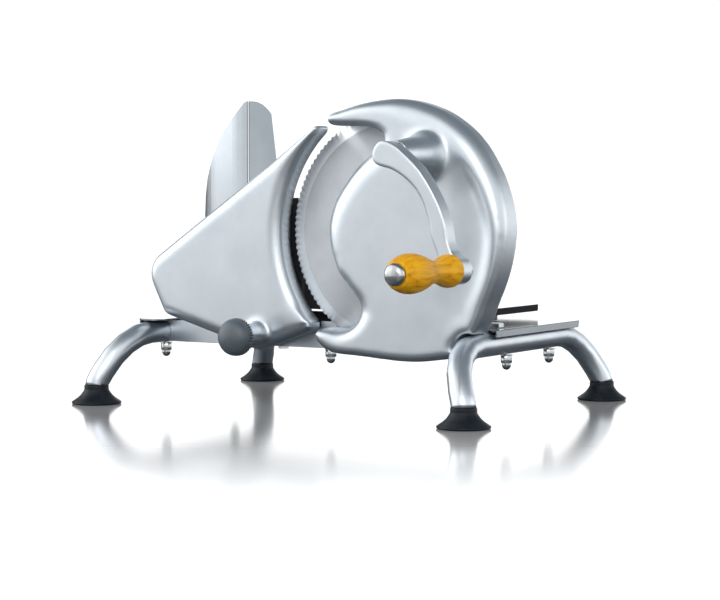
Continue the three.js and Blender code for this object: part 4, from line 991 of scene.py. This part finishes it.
# node: name, width of the softened edges and, where it isn't the slot's own, the finish
softened = {
    # painted shade: the base plate, carriage and guard take darker copies of the stainless sheet
    "base_plate": ("basePlate", 0.7, "polishedPaintedShade"),
    "carriage": ("carriageSheet", 0.4, "polishedPaintedShade"),
    "finger_guard": ("fingerGuard", 0.35, "guard"),
    "guide_rail": ("guideRail", 0.6),
    "carriage_runner_front": ("frontRunner", 0.8),
    "carriage_runner_back": ("backRunner", 0.8),
    "cross_bar": ("crossBar", 1.0),
    "guide_block": ("guideBlock", 0.4),
    "pusher": ("pusherPlate", 0.5),
    "pusher_knob": ("pusherKnob", 0.5),
    "blade_screw": ("bladeScrew", 0.5),
}
guardCurl = {
    "depth": 10,  # how much farther back the left edge stands
    "sideways": 0.6,  # share of that depth by which the edge also moves to the left
    "strips": 16,
}


def curlGuard(bm):
    # bends the sheet back toward its left edge, more the farther it reaches
    right = max(v.co.x for v in bm.verts)
    reach = right - min(v.co.x for v in bm.verts)
    for i in range(1, guardCurl["strips"]):
        place = (right - reach * i / guardCurl["strips"], 0, 0)
        everything = [*bm.verts, *bm.edges, *bm.faces]
        bmesh.ops.bisect_plane(bm, geom=everything, plane_co=place, plane_no=(1, 0, 0), dist=0.001 * mm)
    for vert in bm.verts:
        back = ((right - vert.co.x) / reach) ** 2 * guardCurl["depth"] * mm
        vert.co.y += back
        vert.co.x -= back * guardCurl["sideways"]


for node, (name, width, *finish) in softened.items():
    shape = copyOf(node)
    if node == "finger_guard":
        curlGuard(shape)
    piece = finishPiece(name, shape, node, sharp=32, finish=finish[0] if finish else None)
    softenEdges(piece, width)

# painted shade: sizes of the black strip put where the carriage's lip is in shade
edgeShadeStrip = {"thickness": 0.5, "frontY": 4, "backY": 184, "topZ": 78.08, "height": 5.6, "corner": 2}


def makeEdgeShadeStrip():
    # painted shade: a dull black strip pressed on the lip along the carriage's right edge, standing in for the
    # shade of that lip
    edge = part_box("carriage")[1].x
    low = edgeShadeStrip["topZ"] - edgeShadeStrip["height"]
    size = edgeShadeStrip["thickness"], edgeShadeStrip["backY"] - edgeShadeStrip["frontY"], edgeShadeStrip["height"]
    middle = at(0, (edgeShadeStrip["frontY"] + edgeShadeStrip["backY"]) / 2, low + edgeShadeStrip["height"] / 2)
    middle.x = edge + edgeShadeStrip["thickness"] / 2 * mm
    bm = bmesh.new()
    made = bmesh.ops.create_cube(bm, size=1)["verts"]
    bmesh.ops.scale(bm, verts=made, vec=Vector(size) * mm)
    bmesh.ops.translate(bm, verts=made, vec=middle)
    below = lambda e: all(v.co.z < middle.z for v in e.verts)
    corners = [e for e in bm.edges if below(e) and abs(e.verts[0].co.y - e.verts[1].co.y) < 0.1 * mm]
    corner = edgeShadeStrip["corner"] * mm
    bmesh.ops.bevel(bm, geom=corners, offset=corner, segments=4, profile=0.5, affect="EDGES", material=-1)
    finishPiece("carriageEdgePaintedShade", bm, "carriage_runner_front", sharp=40, finish="edgeShade", added=True)


makeEdgeShadeStrip()

for node, piece in frame["nodes"].items():
    if not piece.hide_render:
        piece.data.materials.clear()
        piece.data.materials.append(finishes[slotOf[node]])
print("small fittings dressed")


# Floor, light and camera

studio = {
    "floorLight": (0.9, 0.905, 0.91),
    "floorDark": (0.88, 0.885, 0.89),
    # painted shade: the dark colour and glow that the floor shows the machine close by
    "floorPaintedShade": (0.045, 0.055, 0.065),
    "floorGlow": 0.65,
    "floorRadius": 14,
    # the painted shade fades out between these distances from the floor's middle, in metres
    "paintedShadeNear": 0.35,
    "paintedShadeFar": 2.2,
    "floorRoughness": 0.12,
    "floorGloss": (0.84, 0.886, 0.1, 0.88),  # reflection at a steep and at a shallow view
    # each fade: direction, where it starts and ends, brightness before and after it
    "walls": ((0, 1, 0), -0.95, 0.5, 1.05, 1.5),
    "lobes": (
        ((-0.9, -0.35, 0.25), 0.7, 0.97, 0, 0.65),
        ((-0.5, -0.65, 0.57), 0.75, 0.98, 0, 0.3),
        ((-0.9, 0.4, 0.15), 0.9, 0.98, 0, -1.6),
        ((0.15, -0.98, -0.05), 0.9, 0.99, 0, -0.3),
        ((0.66, -0.75, 0.05), 0.88, 0.98, 0, 0.4),
        ((0.33, -0.84, 0.44), 0.92, 0.985, 0, 2.2),
    ),
    "darkest": 0.08,
    "backdrop": 1.15,  # what the camera sees of the walls
    "ceilingFade": ((0.05, 0.38, 0.92), 0.45, 0.8, 0, 1),
    "ceiling": (0.2, 0.235, 0.27),
    # each lamp: name, place, width, height and power
    "lamps": (
        ("leftSoftbox", (-2.0, -0.4, 0.75), 1.6, 1.1, 5),
        ("rightStrip", (1.9, 1.0, 0.5), 0.5, 0.9, 1.5),
    ),
    "lampsAimAt": (0, 0.03, 0.12),
    "cameraPlace": (0.876765, -1.39126, 0.17439),
    "cameraHeading": 31.16,
    "cameraTilt": -3.06,
    "lens": 101.74,
}


def makeFloor():
    # pale, glowing floor; painted shade: the light that it throws back is painted dark close to the machine and
    # pale farther off, for all rays but the camera's
    bm = bmesh.new()
    bmesh.ops.create_circle(bm, cap_ends=True, segments=96, radius=studio["floorRadius"])
    floor = objectFrom("floor", bm)
    finish, tree, shader = newFinish("paleFloor", 0.0, Roughness=1, Specular_IOR_Level=0)
    place = onPiece(tree, (1, 1, 1))
    pale = ramp(tree, noise(tree, place, 6, 3), (0.3, studio["floorDark"]), (0.7, studio["floorLight"]))
    distance = addNode(tree, "ShaderNodeVectorMath", operation="LENGTH")
    tree.links.new(place, distance.inputs[0])
    reach = {"From Min": studio["paintedShadeNear"], "From Max": studio["paintedShadeFar"]}
    far = addNode(tree, "ShaderNodeMapRange", reach)
    tree.links.new(distance.outputs["Value"], far.inputs["Value"])
    # painted shade: the camera sees the floor pale everywhere, other rays see it dark close to the machine
    rays = addNode(tree, "ShaderNodeLightPath")
    clearOfPaintedShade = addNode(tree, "ShaderNodeMath", operation="MAXIMUM")
    tree.links.new(rays.outputs["Is Camera Ray"], clearOfPaintedShade.inputs[0])
    tree.links.new(far.outputs["Result"], clearOfPaintedShade.inputs[1])
    seen = addNode(tree, "ShaderNodeMix", data_type="RGBA")
    seen.inputs["A"].default_value = (*studio["floorPaintedShade"], 1)
    tree.links.new(clearOfPaintedShade.outputs["Value"], seen.inputs["Factor"])
    tree.links.new(pale, seen.inputs["B"])
    tree.links.new(seen.outputs["Result"], shader.inputs["Base Color"])
    tree.links.new(seen.outputs["Result"], shader.inputs["Emission Color"])
    shader.inputs["Emission Strength"].default_value = studio["floorGlow"]
    gloss = addNode(tree, "ShaderNodeBsdfAnisotropic", {"Roughness": studio["floorRoughness"]})
    facing = addNode(tree, "ShaderNodeLayerWeight", {"Blend": 0.5})
    low, high, least, most = studio["floorGloss"]
    values = {"From Min": low, "From Max": high, "To Min": least, "To Max": most}
    share = addNode(tree, "ShaderNodeMapRange", values, interpolation_type="SMOOTHSTEP")
    tree.links.new(facing.outputs["Facing"], share.inputs["Value"])
    both = addNode(tree, "ShaderNodeMixShader")
    tree.links.new(share.outputs["Result"], both.inputs["Fac"])
    tree.links.new(shader.outputs["BSDF"], both.inputs[1])
    tree.links.new(gloss.outputs["BSDF"], both.inputs[2])
    tree.links.new(both.outputs["Shader"], tree.nodes["Material Output"].inputs["Surface"])
    floor.data.materials.append(finish)


def areaLight(name, place, width, height, power):
    light = bpy.data.lights.new(name, "AREA")
    light.shape = "RECTANGLE"
    light.size, light.size_y = width, height
    light.energy = power
    lamp = bpy.data.objects.new(name, light)
    bpy.context.scene.collection.objects.link(lamp)
    lamp.location = place
    aim = Vector(studio["lampsAimAt"]) - Vector(place)
    lamp.rotation_euler = aim.to_track_quat("-Z", "Y").to_euler()


def makeWorld():
    # brightness by direction: walls with lobes, a dark ceiling, and a white backdrop for the camera only
    world = bpy.data.worlds.new("studioWorld")
    world.use_nodes = True
    tree = world.node_tree
    background = tree.nodes["Background"]
    coordinates = addNode(tree, "ShaderNodeTexCoord")

    def toward(direction, start, end, low, high):
        dot = addNode(tree, "ShaderNodeVectorMath", operation="DOT_PRODUCT")
        tree.links.new(coordinates.outputs["Generated"], dot.inputs[0])
        dot.inputs[1].default_value = Vector(direction).normalized()
        values = {"From Min": start, "From Max": end, "To Min": low, "To Max": high}
        fade = addNode(tree, "ShaderNodeMapRange", values, interpolation_type="SMOOTHSTEP")
        tree.links.new(dot.outputs["Value"], fade.inputs["Value"])
        return fade.outputs["Result"]

    def total(a, b):
        node = addNode(tree, "ShaderNodeMath", operation="ADD")
        tree.links.new(a, node.inputs[0])
        tree.links.new(b, node.inputs[1])
        return node.outputs["Value"]

    walls = toward(*studio["walls"])
    for lobe in studio["lobes"]:
        walls = total(walls, toward(*lobe))
    atLeast = addNode(tree, "ShaderNodeMath", operation="MAXIMUM")
    atLeast.inputs[1].default_value = studio["darkest"]
    tree.links.new(walls, atLeast.inputs[0])
    ceiling = addNode(tree, "ShaderNodeMix", data_type="RGBA")
    tree.links.new(toward(*studio["ceilingFade"]), ceiling.inputs["Factor"])
    tree.links.new(atLeast.outputs["Value"], ceiling.inputs["A"])
    ceiling.inputs["B"].default_value = (*studio["ceiling"], 1)
    rays = addNode(tree, "ShaderNodeLightPath")
    seen = addNode(tree, "ShaderNodeMix", data_type="RGBA")
    tree.links.new(rays.outputs["Is Camera Ray"], seen.inputs["Factor"])
    tree.links.new(ceiling.outputs["Result"], seen.inputs["A"])
    seen.inputs["B"].default_value = (*[studio["backdrop"]] * 3, 1)
    tree.links.new(seen.outputs["Result"], background.inputs["Color"])
    bpy.context.scene.world = world


def makeCamera():
    camera = bpy.data.cameras.new("photoCamera")
    camera.lens = studio["lens"]
    camera.sensor_width = 36
    holder = bpy.data.objects.new("photoCamera", camera)
    bpy.context.scene.collection.objects.link(holder)
    holder.location = studio["cameraPlace"]
    heading, tilt = math.radians(studio["cameraHeading"]), math.radians(studio["cameraTilt"])
    holder.rotation_euler = (math.pi / 2 + tilt, 0, heading)
    bpy.context.scene.camera = holder


makeFloor()
makeWorld()
for lamp in studio["lamps"]:
    areaLight(*lamp)
makeCamera()
bpy.context.scene.view_settings.view_transform = "Standard"
print("floor, light and camera made")
